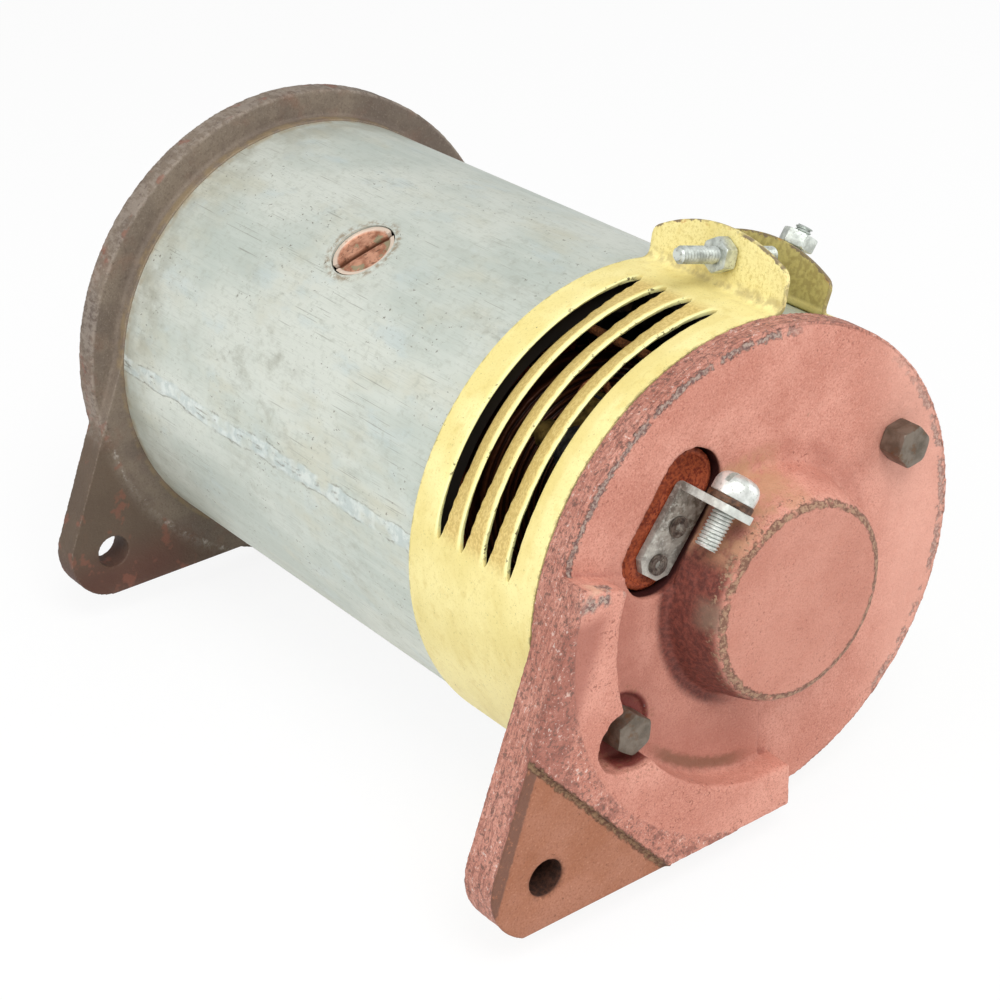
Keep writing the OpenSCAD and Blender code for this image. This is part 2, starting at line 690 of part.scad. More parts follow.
// Terminal screw and its washer: round head above the tab, thread below it
washer_t = 1.5;
screw_tail = 8.1;
terminal_head_h = 5;
dome_r = terminal_head_d * 0.54;
module terminal_screw() color([0.8, 0.82, 0.82]) screw_frame() {
    spoke(terminal_d / 2, bracket_high - bracket_t - screw_tail, bracket_high + washer_t + 1);
    difference() {
        translate([bracket_high + washer_t, 0, 0]) rotate([0, 90, 0]) rotate_extrude()
            intersection() {
                square([terminal_head_d / 2, terminal_head_h]);
                translate([0, terminal_head_h - dome_r]) circle(r = dome_r);
            }
        translate([bracket_high + washer_t + 2.6, -far / 2, -0.6]) cube([far, far, 1.2]);
    }
}
module terminal_washer() color([0.33, 0.22, 0.16]) screw_frame() difference() {
    spoke(terminal_head_d / 2 + 0.2, bracket_high, bracket_high + washer_t);
    spoke(terminal_d / 2 + fit, bracket_high - over, bracket_high + washer_t + over);
}

// Brush gear, drawn with +X out along the brush and +Z across it
holder_y = bell_t + flange_t;
holder_base_t = 2;
brush_mid = holder_y + holder_base_t + 13 + brush_len / 2;
brush_in = commutator_r + brush_gap;
brush_out = brush_in + brush_h;
box_in = brush_in + 3.4;
box_out = brush_out - 1.2;
box_half = brush_t / 2 + box_gap + box_wall;
holder_half = 11;
nose_r = 1.5;
nose_gap = 0.3;
nose_x = brush_out + nose_gap + nose_r;
post_x = nose_x + brush_lift / 2;
holder_screw_d = 3;
holder_screw_deep = 3.5;
holder_head_h = 1.8;
holder_screw_x = [box_in + 5, box_in + 15];
module turn_flat(a) rotate(a) children();
// Outline of a holder's foot: a plate beside the box, with an ear under the spring post
module holder_foot() intersection() {
    union() {
        translate([box_in - 1, -holder_half]) square([post_x - box_in + 1, holder_half + box_half]);
        translate([post_x, post_side]) circle(r = post_d / 2 + 2);
        translate([post_x - post_d - 6, 0]) square([post_d + 6, post_side]);
    }
    circle(r = spigot_in_r - 0.4);
}
module holder_screw_places() for (x = holder_screw_x) translate([x, 0, -holder_half + 3]) children();
module brush_holder(half) color([0.72, 0.60, 0.32]) turn(pole_angle + half) {
    difference() {
        union() {
            slab(holder_y, holder_y + holder_base_t) holder_foot();
            block(box_in, box_out, holder_y, brush_mid + brush_len / 2 + box_gap + box_wall,
                -box_half, box_half);
            translate([post_x, 0, post_side]) rod(post_d / 2, holder_y,
                brush_mid + brush_len / 2 + box_wall);
            block(brush_out - braid_len - 3.2, brush_out - braid_len - 0.2, braid_y - 1.5,
                braid_y + 1.5, braid_z - 1, -box_half + 0.5);
        }
        block(box_in - over, box_out + over, brush_mid - brush_len / 2 - box_gap,
            brush_mid + brush_len / 2 + box_gap, -brush_t / 2 - box_gap, brush_t / 2 + box_gap);
        block(box_in - over, box_out + over, brush_mid - brush_len / 2 - 9,
            brush_mid - brush_len / 2 - box_wall, -brush_t / 2, brush_t / 2);
        rod(front_od / 2 + 5, 0, holder_y + 5);
        holder_screw_places() rod(holder_screw_d / 2 + slack, holder_y - over,
            holder_y + holder_base_t + over);
    }
}
module brush_holder_1() brush_holder(0);
module brush_holder_2() brush_holder(180);
module holder_screws() color([0.45, 0.45, 0.42]) for (half = [0, 180]) turn(pole_angle + half)
    holder_screw_places() {
        rod(holder_screw_d / 2, bell_t - holder_screw_deep, holder_y + holder_base_t + 0.5);
        rod(holder_screw_d * 0.9, holder_y + holder_base_t,
            holder_y + holder_base_t + holder_head_h);
    }

// Brushes: carbon blocks, their inner ends turned to the commutator
module brush(half) color([0.16, 0.16, 0.17]) turn(pole_angle + half) difference() {
    block(brush_in - 1.5, brush_out, brush_mid - brush_len / 2, brush_mid + brush_len / 2,
        -brush_t / 2, brush_t / 2);
    rod(brush_in, 0, commutator_end);
}
module brush_1() brush(0);
module brush_2() brush(180);

// Brush arms: a hub on the spring post and a nose that bears on the brush
arm_w = 8;
arm_hub_r = post_d / 2 + 1.3;
arm_t = 1.6;
module brush_arm(half) color([0.55, 0.50, 0.38]) turn(pole_angle + half) difference() {
    union() {
        translate([post_x, 0, post_side]) rod(arm_hub_r, brush_mid - arm_w / 2, brush_mid + arm_w / 2);
        translate([nose_x, 0, 0]) rod(nose_r, brush_mid - arm_w / 2, brush_mid + arm_w / 2);
        translate([nose_x, 0, 0]) turn(atan2(post_side, post_x - nose_x))
            block(0.4, norm([post_x - nose_x, post_side]) - 1, brush_mid - arm_w / 2 + 0.4,
                brush_mid + arm_w / 2 - 0.4, -arm_t / 2, arm_t / 2);
    }
    translate([post_x, 0, post_side]) rod(post_d / 2 + 0.05, 0, yoke_end);
}
module brush_arm_1() brush_arm(0);
module brush_arm_2() brush_arm(180);

// Spiral springs: wound round the post beside the arm, turning with it
spring_y = brush_mid - arm_w / 2 - 7;
spring_w = 6;
spring_in = post_d / 2 + 0.6;
spring_step = 1.05;
module spiral() {
    steps = floor(spring_turns * 24);
    function at(i, r) = let (a = i * 15) (r + spring_step * i / 24) * [cos(a), sin(a)];
    polygon(concat([for (i = [0:steps]) at(i, spring_in)],
        [for (i = [steps:-1:0]) at(i, spring_in + spring_t)]));
}
module brush_spring(half) color([0.35, 0.36, 0.38]) turn(pole_angle + half)
    translate([post_x, 0, post_side]) slab(spring_y, spring_y + spring_w) spiral();
module brush_spring_1() brush_spring(0);
module brush_spring_2() brush_spring(180);

// Brush leads: copper braid from a brush's outer end down to the holder's tag
braid_r = 0.9;
braid_y = brush_mid + 6;
braid_bend = 4;
braid_z = 1.8 - 2 * braid_bend;         // where it runs down beside the box
braid_len = 6;
module brush_lead(half) color([0.55, 0.33, 0.20]) turn(pole_angle + half) {
    translate([brush_out, 0, braid_z]) station(braid_y) rotate([90, 0, 0])
        translate([0, braid_bend, 0]) rotate(-90)
        rotate_extrude(angle = 180) translate([braid_bend, 0]) circle(r = braid_r, $fn = 24);
    station(braid_y) translate([0, 0, braid_z]) spoke(braid_r, brush_out - braid_len, brush_out);
}
module brush_lead_1() brush_lead(0);
module brush_lead_2() brush_lead(180);

// Ball bearings: rings with a ball track, a pressed cage and the balls
module ring_profile(r1, r2, y1, y2, track_r, ball_r) difference() {
    translate([r1, y1]) square([r2 - r1, y2 - y1]);
    translate([track_r, (y1 + y2) / 2]) circle(r = ball_r + play, $fn = 48);
}
module bearing_outer(r_in, r_out, y1, y2, ball_d) color([0.75, 0.76, 0.78]) turned()
    ring_profile(r_out - (r_out - r_in) * 0.3, r_out, y1, y2, (r_in + r_out) / 2, ball_d / 2);
module bearing_inner(r_in, r_out, y1, y2, ball_d) color([0.75, 0.76, 0.78]) turned()
    ring_profile(r_in + fit, r_in + (r_out - r_in) * 0.3, y1, y2, (r_in + r_out) / 2, ball_d / 2);
module ball_places(r, y, n) station(y) for (i = [0:n - 1]) turn(360 * i / n)
    translate([r, 0, 0]) children();
module bearing_cage(r, y, ball_d, n) color([0.70, 0.55, 0.25]) difference() {
    tube(r + 0.5, r - 0.5, y - ball_d * 0.58, y + ball_d * 0.58);
    ball_places(r, y, n) spoke(ball_d / 2 + play, -2, 2);
}
module bearing_balls(r, y, ball_d, n) color([0.82, 0.83, 0.85]) ball_places(r, y, n)
    sphere(d = ball_d);
front_mid_r = (front_bore + front_od) / 4;
drive_mid_r = (seat_d + drive_od) / 4;
front_mid = (front_y + front_end) / 2;
drive_mid = (drive_y + drive_end) / 2;
front_balls = 8;
drive_balls = 7;
module front_bearing_outer()
    bearing_outer(front_bore / 2, front_od / 2, front_y, front_end, front_ball);
module front_bearing_inner()
    bearing_inner(front_bore / 2, front_od / 2, front_y, front_end, front_ball);
module front_bearing_cage() bearing_cage(front_mid_r, front_mid, front_ball, front_balls);
module front_bearing_balls() bearing_balls(front_mid_r, front_mid, front_ball, front_balls);
module drive_bearing_outer()
    bearing_outer(seat_d / 2, drive_od / 2, drive_y, drive_end, drive_ball);
module drive_bearing_inner()
    bearing_inner(seat_d / 2, drive_od / 2, drive_y, drive_end, drive_ball);
module drive_bearing_cage() bearing_cage(drive_mid_r, drive_mid, drive_ball, drive_balls);
module drive_bearing_balls() bearing_balls(drive_mid_r, drive_mid, drive_ball, drive_balls);

// Retainer: a plate inside the hub that holds the drive bearing's outer ring
retainer_t = 2;
retainer_lip = 3.5;                     // how far it laps over the outer ring
retainer_screw_d = 3;
retainer_screw_len = 6;
retainer_head_h = 1.8;
module retainer_screw_places() for (i = [0:2]) turn(bolt_angle + 60 + 120 * i)
    translate([(drive_od / 2 + hub_d / 2) / 2, 0, 0]) children();
module bearing_retainer() color([0.5, 0.5, 0.48]) difference() {
    tube(hub_d / 2, drive_od / 2 - retainer_lip, drive_y - retainer_t, drive_y);
    retainer_screw_places() rod(retainer_screw_d / 2 + slack, drive_y - retainer_t - over,
        drive_y + over);
}
module retainer_screws() color([0.42, 0.42, 0.40]) retainer_screw_places() {
    rod(retainer_screw_d / 2, drive_y - retainer_t - 0.5, drive_y + retainer_screw_len);
    rod(retainer_screw_d * 0.9, drive_y - retainer_t - retainer_head_h, drive_y - retainer_t);
}

// Felt seal and dust cover: they close the hub round the collar
seal_out_r = 17;
module felt_seal() color([0.45, 0.42, 0.36])
    tube(seal_out_r - 0.1, collar_d / 2 + slack, drive_end + seal_gap, hub_end - cover_t);
module dust_cover() color([0.40, 0.40, 0.40])
    tube(seal_out_r - fit, collar_d / 2 + slack, hub_end - cover_t, hub_end);

// Shaft: journals, commutator and core seats, pulley seat with its keyseat, threaded end
key_r = 8;
key_deep = 5;
relief_w = 2;                           // groove between the drive journal and the pulley seat
relief_h = 0.5;
module shaft() color([0.62, 0.62, 0.62]) difference() {
    union() {
        rod(front_bore / 2, front_y - 1.6, front_end + over);
        rod(shaft_front_d / 2, front_end, core_y - 10);
        rod(shaft_d / 2, core_y - 10, drive_y);
        rod(seat_d / 2, drive_y - over, seat_end);
        rod(thread_d / 2, seat_end - over, shaft_end - 1.2);
        station(shaft_end - 1.2) rotate([-90, 0, 0])
            cylinder(r1 = thread_d / 2, r2 = thread_d / 2 - 1.2, h = 1.2);
    }
    station((seat_y + seat_end) / 2) translate([-key_t / 2, 0, seat_d / 2 - key_deep + key_r])
        rotate([0, 90, 0]) cylinder(r = key_r, h = key_t);
    tube(front_bore / 2 + over, front_bore / 2 - 0.6, front_y - 1.3, front_y - 0.1);
    tube(seat_d / 2 + over, seat_d / 2 - relief_h, seat_y - relief_w, seat_y);
}

// Circlip: keeps the commutator end bearing on the shaft
module front_circlip() color([0.4, 0.4, 0.42]) slab(front_y - 1.2, front_y - 0.2) difference() {
    circle(r = front_bore / 2 + 1.5);
    circle(r = front_bore / 2 - 0.6 + fit);
    wedge(-115, -65);
}

// Distance collar between the drive bearing and the pulley
module distance_collar() color([0.58, 0.58, 0.57])
    tube(collar_d / 2, seat_d / 2 + fit, drive_end, seat_y - slack);

// Armature core: laminations with open winding slots
slot_floor = core_r - core_slot_h;
module core_slot_places() for (i = [0:core_slots - 1]) turn(360 * i / core_slots) children();
module armature_core() color([0.40, 0.38, 0.36]) difference() {
    tube(core_r, shaft_d / 2 + fit, core_y, core_end);
    core_slot_places() block(slot_floor, core_r + over, core_y - over, core_end + over,
        -core_slot_w / 2, core_slot_w / 2);
}

// Fibre ends of the core, slotted alike
core_insulator_t = 1;
module core_insulators() color([0.50, 0.30, 0.16]) difference() {
    for (y = [core_y - core_insulator_t, core_end])
        tube(core_r - 1.5, shaft_d / 2 + fit, y, y + core_insulator_t);
    core_slot_places() block(slot_floor, core_r + over, core_y - 2, core_end + 2,
        -core_slot_w / 2, core_slot_w / 2);
}

// Armature winding: coil sides in the slots, joined by rounded end turns
end_turn_h = 13;
end_turn_r = core_r - 3.5;
winding_in_r = shaft_d / 2 + 1.5;
winding_side_r = core_r - 1.4;
module end_turns(y1, y2, narrow) turned() polygon([[winding_in_r, y1], [end_turn_r, y1],
    [end_turn_r + 1.2, y1 + (y2 - y1) * 0.3], [end_turn_r, y1 + (y2 - y1) * 0.62],
    [end_turn_r - 3 - narrow, y1 + (y2 - y1) * 0.86], [end_turn_r - 8 - narrow, y2],
    [winding_in_r, y2]]);
module armature_winding() color([0.45, 0.22, 0.10]) {
    core_slot_places() block(slot_floor + 0.2, winding_side_r,
        core_y - core_insulator_t - 0.5, core_end + core_insulator_t + 0.5,
        -core_slot_w / 2 + 0.2, core_slot_w / 2 - 0.2);
    end_turns(core_end + core_insulator_t, core_end + core_insulator_t + end_turn_h, 0);
    end_turns(core_y - core_insulator_t, core_y - core_insulator_t - end_turn_h, 3);
}

// Commutator: copper bars with risers, round a moulded hub
riser_len = 4;
bar_h = 6.5;                            // radial height of a bar under the brush track
hub_r = commutator_r - bar_h;
module commutator_bars() color([0.72, 0.45, 0.28]) difference() {
    union() {
        tube(commutator_r, hub_r, commutator_at, commutator_end);
        tube(commutator_r + 1.6, hub_r, commutator_end - riser_len, commutator_end);
    }
    for (i = [0:bars / 2 - 1]) turn(360 * (i + 0.5) / bars)
        block(-far / 2, far / 2, commutator_at - over, commutator_end + over,
            -bar_gap / 2, bar_gap / 2);
}
module commutator_hub() color([0.22, 0.14, 0.10])
    tube(hub_r - fit, shaft_front_d / 2 + fit, commutator_at - bar_gap, commutator_end + bar_gap);

yoke();
commutator_end_bell();
drive_end_bell();
cover_band();
clamp_screw();
clamp_nuts();
through_bolts();
dowels();
pole_shoe_1();
pole_shoe_2();
pole_screws();
field_coil_1();
field_coil_2();
coil_link();
field_lead_1();
field_lead_2();
terminal_insulator();
terminal_bracket();
terminal_rivets();
terminal_screw();
terminal_washer();
brush_holder_1();
brush_holder_2();
holder_screws();
brush_1();
brush_2();
brush_arm_1();
brush_arm_2();
brush_spring_1();
brush_spring_2();
brush_lead_1();
brush_lead_2();
front_bearing_outer();
front_bearing_inner();
front_bearing_cage();
front_bearing_balls();
drive_bearing_outer();
drive_bearing_inner();
drive_bearing_cage();
drive_bearing_balls();
bearing_retainer();
retainer_screws();
felt_seal();
dust_cover();
shaft();
armature_core();
armature_winding();
core_insulators();
commutator_bars();
commutator_hub();
distance_collar();
front_circlip();
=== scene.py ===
import json
import math
import bmesh
import bpy
from mathutils import Matrix, Vector


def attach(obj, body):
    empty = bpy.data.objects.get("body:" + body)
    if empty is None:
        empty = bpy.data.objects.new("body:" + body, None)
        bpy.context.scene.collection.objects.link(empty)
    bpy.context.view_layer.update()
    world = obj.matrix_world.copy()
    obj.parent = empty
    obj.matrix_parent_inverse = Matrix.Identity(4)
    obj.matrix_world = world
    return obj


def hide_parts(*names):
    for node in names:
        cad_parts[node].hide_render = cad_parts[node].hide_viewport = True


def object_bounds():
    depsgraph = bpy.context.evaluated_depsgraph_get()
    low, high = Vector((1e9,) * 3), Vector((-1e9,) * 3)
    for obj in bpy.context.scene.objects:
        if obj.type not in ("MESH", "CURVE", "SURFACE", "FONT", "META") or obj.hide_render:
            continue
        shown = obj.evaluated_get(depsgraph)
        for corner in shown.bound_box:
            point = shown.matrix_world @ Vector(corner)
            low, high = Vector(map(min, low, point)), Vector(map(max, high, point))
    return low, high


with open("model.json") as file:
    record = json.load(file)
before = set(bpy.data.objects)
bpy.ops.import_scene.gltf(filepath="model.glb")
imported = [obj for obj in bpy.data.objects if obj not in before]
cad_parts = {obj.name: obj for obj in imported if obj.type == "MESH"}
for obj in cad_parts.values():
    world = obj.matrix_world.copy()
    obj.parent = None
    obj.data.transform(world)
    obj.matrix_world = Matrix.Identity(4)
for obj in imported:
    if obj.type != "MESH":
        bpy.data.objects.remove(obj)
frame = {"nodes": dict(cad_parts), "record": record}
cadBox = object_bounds()
nodes = frame["nodes"]
mm = 0.001
face = 189       # mm from the commutator end disc's front face to the origin
mergeGap = 0.000002
print("frame loaded:", len(nodes), "nodes")


# small helpers for edit mode; places are in mm, y counted from the disc's face

class Spot:      # where a corner, edge or face lies, as the maker measures it
    def __init__(self, place, item):
        self.x, self.y, self.z = place.x / mm, place.y / mm + face, place.z / mm
        self.r = math.hypot(self.x, self.z)
        self.a = math.degrees(math.atan2(self.z, self.x)) % 360
        self.item = item


def clearSelection():
    if bpy.context.mode != "OBJECT":
        bpy.ops.object.mode_set(mode="OBJECT")
    bpy.ops.object.select_all(action="DESELECT")


def onlyThis(piece):
    clearSelection()
    piece.select_set(True)
    bpy.context.view_layer.objects.active = piece


def settle(piece):       # the place goes into the mesh
    onlyThis(piece)
    bpy.ops.object.transform_apply(location=True, rotation=True, scale=True)


def rod(name, radius, y1, y2, sides=64, ends="NGON"):        # along the shaft
    clearSelection()
    bpy.ops.mesh.primitive_cylinder_add(
        vertices=sides, radius=radius * mm, depth=(y2 - y1) * mm, end_fill_type=ends,
        location=(0, ((y1 + y2) / 2 - face) * mm, 0), rotation=(math.radians(90), 0, 0))
    bpy.context.object.name = name
    settle(bpy.context.object)
    return bpy.context.object


def post(name, radius, z1, z2, sides=48, ends="NGON"):       # upright at the origin, placed later
    clearSelection()
    bpy.ops.mesh.primitive_cylinder_add(
        vertices=sides, radius=radius * mm, depth=(z2 - z1) * mm, end_fill_type=ends,
        location=(0, 0, (z1 + z2) / 2 * mm))
    bpy.context.object.name = name
    settle(bpy.context.object)
    return bpy.context.object


def brick(name, x1, x2, y1, y2, z1, z2):                     # at the origin, placed later
    clearSelection()
    bpy.ops.mesh.primitive_cube_add(
        size=1, location=((x1 + x2) / 2 * mm, (y1 + y2) / 2 * mm, (z1 + z2) / 2 * mm),
        scale=((x2 - x1) * mm, (y2 - y1) * mm, (z2 - z1) * mm))
    bpy.context.object.name = name
    settle(bpy.context.object)
    return bpy.context.object


def copyOf(name, node):      # a merged copy of a solid
    clearSelection()
    piece = nodes[node].copy()
    piece.data = nodes[node].data.copy()
    piece.name = name
    bpy.context.collection.objects.link(piece)
    piece.parent = None
    piece.matrix_world = Matrix()
    piece.modifiers.clear()
    onlyThis(piece)
    bpy.ops.object.mode_set(mode="EDIT")
    bpy.ops.mesh.select_all(action="SELECT")
    bpy.ops.mesh.remove_doubles(threshold=mergeGap)
    bpy.ops.object.mode_set(mode="OBJECT")
    return piece


def pick(piece, kind, test):     # selects what passes, in edit mode
    if bpy.context.mode != "EDIT_MESH":
        onlyThis(piece)
        bpy.ops.object.mode_set(mode="EDIT")
    bpy.ops.mesh.select_mode(type=kind)
    bpy.ops.mesh.select_all(action="DESELECT")
    mesh = bmesh.from_edit_mesh(piece.data)
    for item in {"VERT": mesh.verts, "EDGE": mesh.edges, "FACE": mesh.faces}[kind]:
        corners = [item] if kind == "VERT" else list(item.verts)
        middle = sum((corner.co for corner in corners), Vector()) / len(corners)
        item.select_set(bool(test(Spot(middle, item))))
    mesh.select_flush_mode()
    bmesh.update_edit_mesh(piece.data)


def cut(piece, place, normal, **options):        # bisects everything
    if bpy.context.mode != "EDIT_MESH":
        onlyThis(piece)
        bpy.ops.object.mode_set(mode="EDIT")
    bpy.ops.mesh.select_mode(type="VERT")
    bpy.ops.mesh.select_all(action="SELECT")
    bpy.ops.mesh.bisect(plane_co=place, plane_no=normal, threshold=0.000001, **options)


def widen(factor):       # scales the selection away from the shaft
    bpy.ops.transform.resize(value=(factor, 1, factor), center_override=(0, 0, 0))


def modify(piece, kind, **settings):
    onlyThis(piece)
    modifier = piece.modifiers.new(kind.lower(), kind)
    for key, value in settings.items():
        setattr(modifier, key, value)
    bpy.ops.object.modifier_apply(modifier=modifier.name)


def thin(piece, limit):      # keeps a piece under a count of triangles
    triangles = sum(len(side.vertices) - 2 for side in piece.data.polygons)
    if triangles > limit:
        modify(piece, "DECIMATE", decimate_type="COLLAPSE", ratio=limit / triangles)


def combine(piece, other, how):      # union, difference or intersection with a second solid
    modify(piece, "BOOLEAN", object=other, operation=how, solver="EXACT")
    bpy.data.objects.remove(other, do_unlink=True)


def joinAll(name, pieces):
    clearSelection()
    for piece in pieces:
        piece.select_set(True)
    bpy.context.view_layer.objects.active = pieces[0]
    bpy.ops.object.join()
    pieces[0].name = name
    return pieces[0]


def outward(piece):
    onlyThis(piece)
    bpy.ops.object.mode_set(mode="EDIT")
    bpy.ops.mesh.select_all(action="SELECT")
    bpy.ops.mesh.remove_doubles(threshold=mergeGap)
    bpy.ops.mesh.normals_make_consistent(inside=False)
    bpy.ops.object.mode_set(mode="OBJECT")


def reachOf(spot):       # how far an edge runs each way, in mm
    first, second = (corner.co for corner in spot.item.verts)
    return Vector([abs(value) / mm for value in first - second])


def copyTo(piece, name, matrix):     # a copy with a mesh of its own
    twin = piece.copy()
    twin.data = piece.data.copy()
    twin.name = name
    bpy.context.collection.objects.link(twin)
    twin.matrix_world = matrix
    settle(twin)
    return twin


def standing(x, y, z, angle):        # frame whose upright points outwards at an angle in X, Z
    c, s = math.cos(math.radians(angle)), math.sin(math.radians(angle))
    turned = Matrix(((s, 0, c), (0, 1, 0), (-c, 0, s)))
    return Matrix.Translation((x * mm, (y - face) * mm, z * mm)) @ turned.to_4x4()


def done(piece, finish, slotName, *replaced, body="housing", smooth=35):
    onlyThis(piece)
    piece.data.materials.clear()
    piece.data.materials.append(finish)
    bpy.ops.object.shade_smooth_by_angle(angle=math.radians(smooth))
    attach(piece, body)
    if replaced:
        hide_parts(*replaced)
    print("made", piece.name, len(piece.data.polygons), "faces")


marks = {        # mm and degrees, where the castings' features and the pole screws lie
    "yokeRadius": 56.0, "poleAt": 107.0, "poleAngle": 117.0, "weldAngle": 172.3,
    "lug": (-64.7, -43.7), "pocket": (-39.6, -20.2), "cornerSide": (0.7625, 0.6470),
    "slotAngle": 53.6, "slotMiddle": 3.2, "slotSide": 32.5, "slotHalf": 8.6,
}


# finishes

def shade(red, green, blue):     # a colour as it is read off a screen, 0 to 255
    def straight(value):
        value /= 255
        return value / 12.92 if value <= 0.04045 else ((value + 0.055) / 1.055) ** 2.4
    return (straight(red), straight(green), straight(blue), 1)


class Finish:
    def __init__(self, name, rough=0.5, metal=0.0, specular=0.5):
        self.material = bpy.data.materials.new(name)
        self.material.use_nodes = True
        self.tree = self.material.node_tree
        self.surface = self.tree.nodes["Principled BSDF"]
        self.surface.inputs["Roughness"].default_value = rough
        self.surface.inputs["Metallic"].default_value = metal
        self.surface.inputs["Specular IOR Level"].default_value = specular
        self.place = self.add("ShaderNodeTexCoord").outputs["Object"]
        self.tone = None         # the paint so far
        self.relief = None

    def add(self, kind, **settings):
        node = self.tree.nodes.new(kind)
        for key, value in settings.items():
            setattr(node, key, value)
        return node

    def feed(self, socket, value):
        if isinstance(value, bpy.types.NodeSocket):
            self.tree.links.new(value, socket)
        else:
            socket.default_value = value

    def calc(self, how, a, b=0.0, c=0.0):
        node = self.add("ShaderNodeMath", operation=how)
        for socket, value in zip(node.inputs, (a, b, c)):
            self.feed(socket, value)
        return node.outputs[0]

    def times(self, a, b):
        return self.calc("MULTIPLY", a, b)

    def plus(self, a, b):
        return self.calc("ADD", a, b)

    def minus(self, a, b):
        return self.calc("SUBTRACT", a, b)

    def span(self, a, b):        # distance from two sides of a right angle
        return self.calc("SQRT", self.plus(self.calc("POWER", a, 2.0), self.calc("POWER", b, 2.0)))

    def noise(self, size, detail=3, rough=0.55, stretch=(1, 1, 1), shift=0.0):       # size in mm
        move = self.add("ShaderNodeMapping")
        self.feed(move.inputs["Vector"], self.place)
        move.inputs["Scale"].default_value = stretch
        move.inputs["Location"].default_value = (shift, shift, shift)
        node = self.add("ShaderNodeTexNoise")
        self.feed(node.inputs["Vector"], move.outputs[0])
        node.inputs["Scale"].default_value = 1 / (size * mm)
        node.inputs["Detail"].default_value = detail
        node.inputs["Roughness"].default_value = rough
        return node.outputs[0]

    def cells(self, size):
        node = self.add("ShaderNodeTexVoronoi")
        self.feed(node.inputs["Vector"], self.place)
        node.inputs["Scale"].default_value = 1 / (size * mm)
        return node.outputs["Distance"]

    def between(self, value, low, high):     # 0 below low, 1 above high
        node = self.add("ShaderNodeMapRange", interpolation_type="SMOOTHSTEP")
        self.feed(node.inputs["Value"], value)
        node.inputs["From Min"].default_value = low
        node.inputs["From Max"].default_value = high
        return node.outputs[0]

    def band(self, value, low, high, soft):      # 1 between low and high
        return self.times(self.between(value, low - soft, low + soft),
                         self.between(value, high + soft, high - soft))

    def both(self, *values):
        result = values[0]
        for value in values[1:]:
            result = self.times(result, value)
        return result

    def either(self, *values):
        result = values[0]
        for value in values[1:]:
            result = self.calc("MAXIMUM", result, value)
        return result

    def blend(self, amount, first, second):
        node = self.add("ShaderNodeMix", data_type="RGBA")
        self.feed(node.inputs[0], amount)
        self.feed(node.inputs[6], first)
        self.feed(node.inputs[7], second)
        return node.outputs[2]

    def mixed(self, value, low, high, first, second):        # two colours, patched by a value
        return self.blend(self.between(value, low, high), shade(*first), shade(*second))

    def over(self, tone, where, share, colour):      # a colour or a blend laid over another
        if share < 1:
            where = self.times(where, share)
        if isinstance(colour, tuple):
            colour = shade(*colour)
        return self.blend(where, tone, colour)

    def stain(self, where, share, colour):
        self.tone = self.over(self.tone, where, share, colour)

    def axes(self):      # x, station, z and radius in mm
        node = self.add("ShaderNodeSeparateXYZ")
        self.feed(node.inputs[0], self.place)
        x = self.times(node.outputs[0], 1000)
        y = self.calc("MULTIPLY_ADD", node.outputs[1], 1000, face)
        z = self.times(node.outputs[2], 1000)
        return x, y, z, self.span(x, z)

    def angle(self, x, z):       # degrees up from +X, 0 to 360
        return self.calc("FLOORED_MODULO", self.times(self.calc("ARCTAN2", z, x), 180 / math.pi), 360.0)

    def fromPole(self, turn, y):     # mm from the middle of the nearer pole screw
        across = self.minus(self.calc("FLOORED_MODULO", turn, 180.0), marks["poleAngle"])
        return self.span(self.times(across, math.radians(marks["yokeRadius"])),
                         self.minus(y, marks["poleAt"]))

    def edges(self, low=0.5, high=0.56):     # worn outer edges
        return self.between(self.add("ShaderNodeNewGeometry").outputs["Pointiness"], low, high)

    # painted shade: darker where the surface is hollow
    def hollowShade(self, low=0.5, high=0.44):
        return self.between(self.add("ShaderNodeNewGeometry").outputs["Pointiness"], low, high)

    def gloss(self, value, low, high):
        node = self.add("ShaderNodeMapRange")
        self.feed(node.inputs["Value"], value)
        node.inputs["To Min"].default_value = low
        node.inputs["To Max"].default_value = high
        self.feed(self.surface.inputs["Roughness"], node.outputs[0])

    def relieve(self, height, depth):     # relief, depth in mm
        node = self.add("ShaderNodeBump")
        node.inputs["Distance"].default_value = depth * mm
        self.feed(node.inputs["Height"], height)
        if self.relief:
            self.feed(node.inputs["Normal"], self.relief)
        self.relief = node.outputs[0]

    def painted(self):
        self.feed(self.surface.inputs["Base Color"], self.tone)
        if self.relief:
            self.feed(self.surface.inputs["Normal"], self.relief)
        return self.material


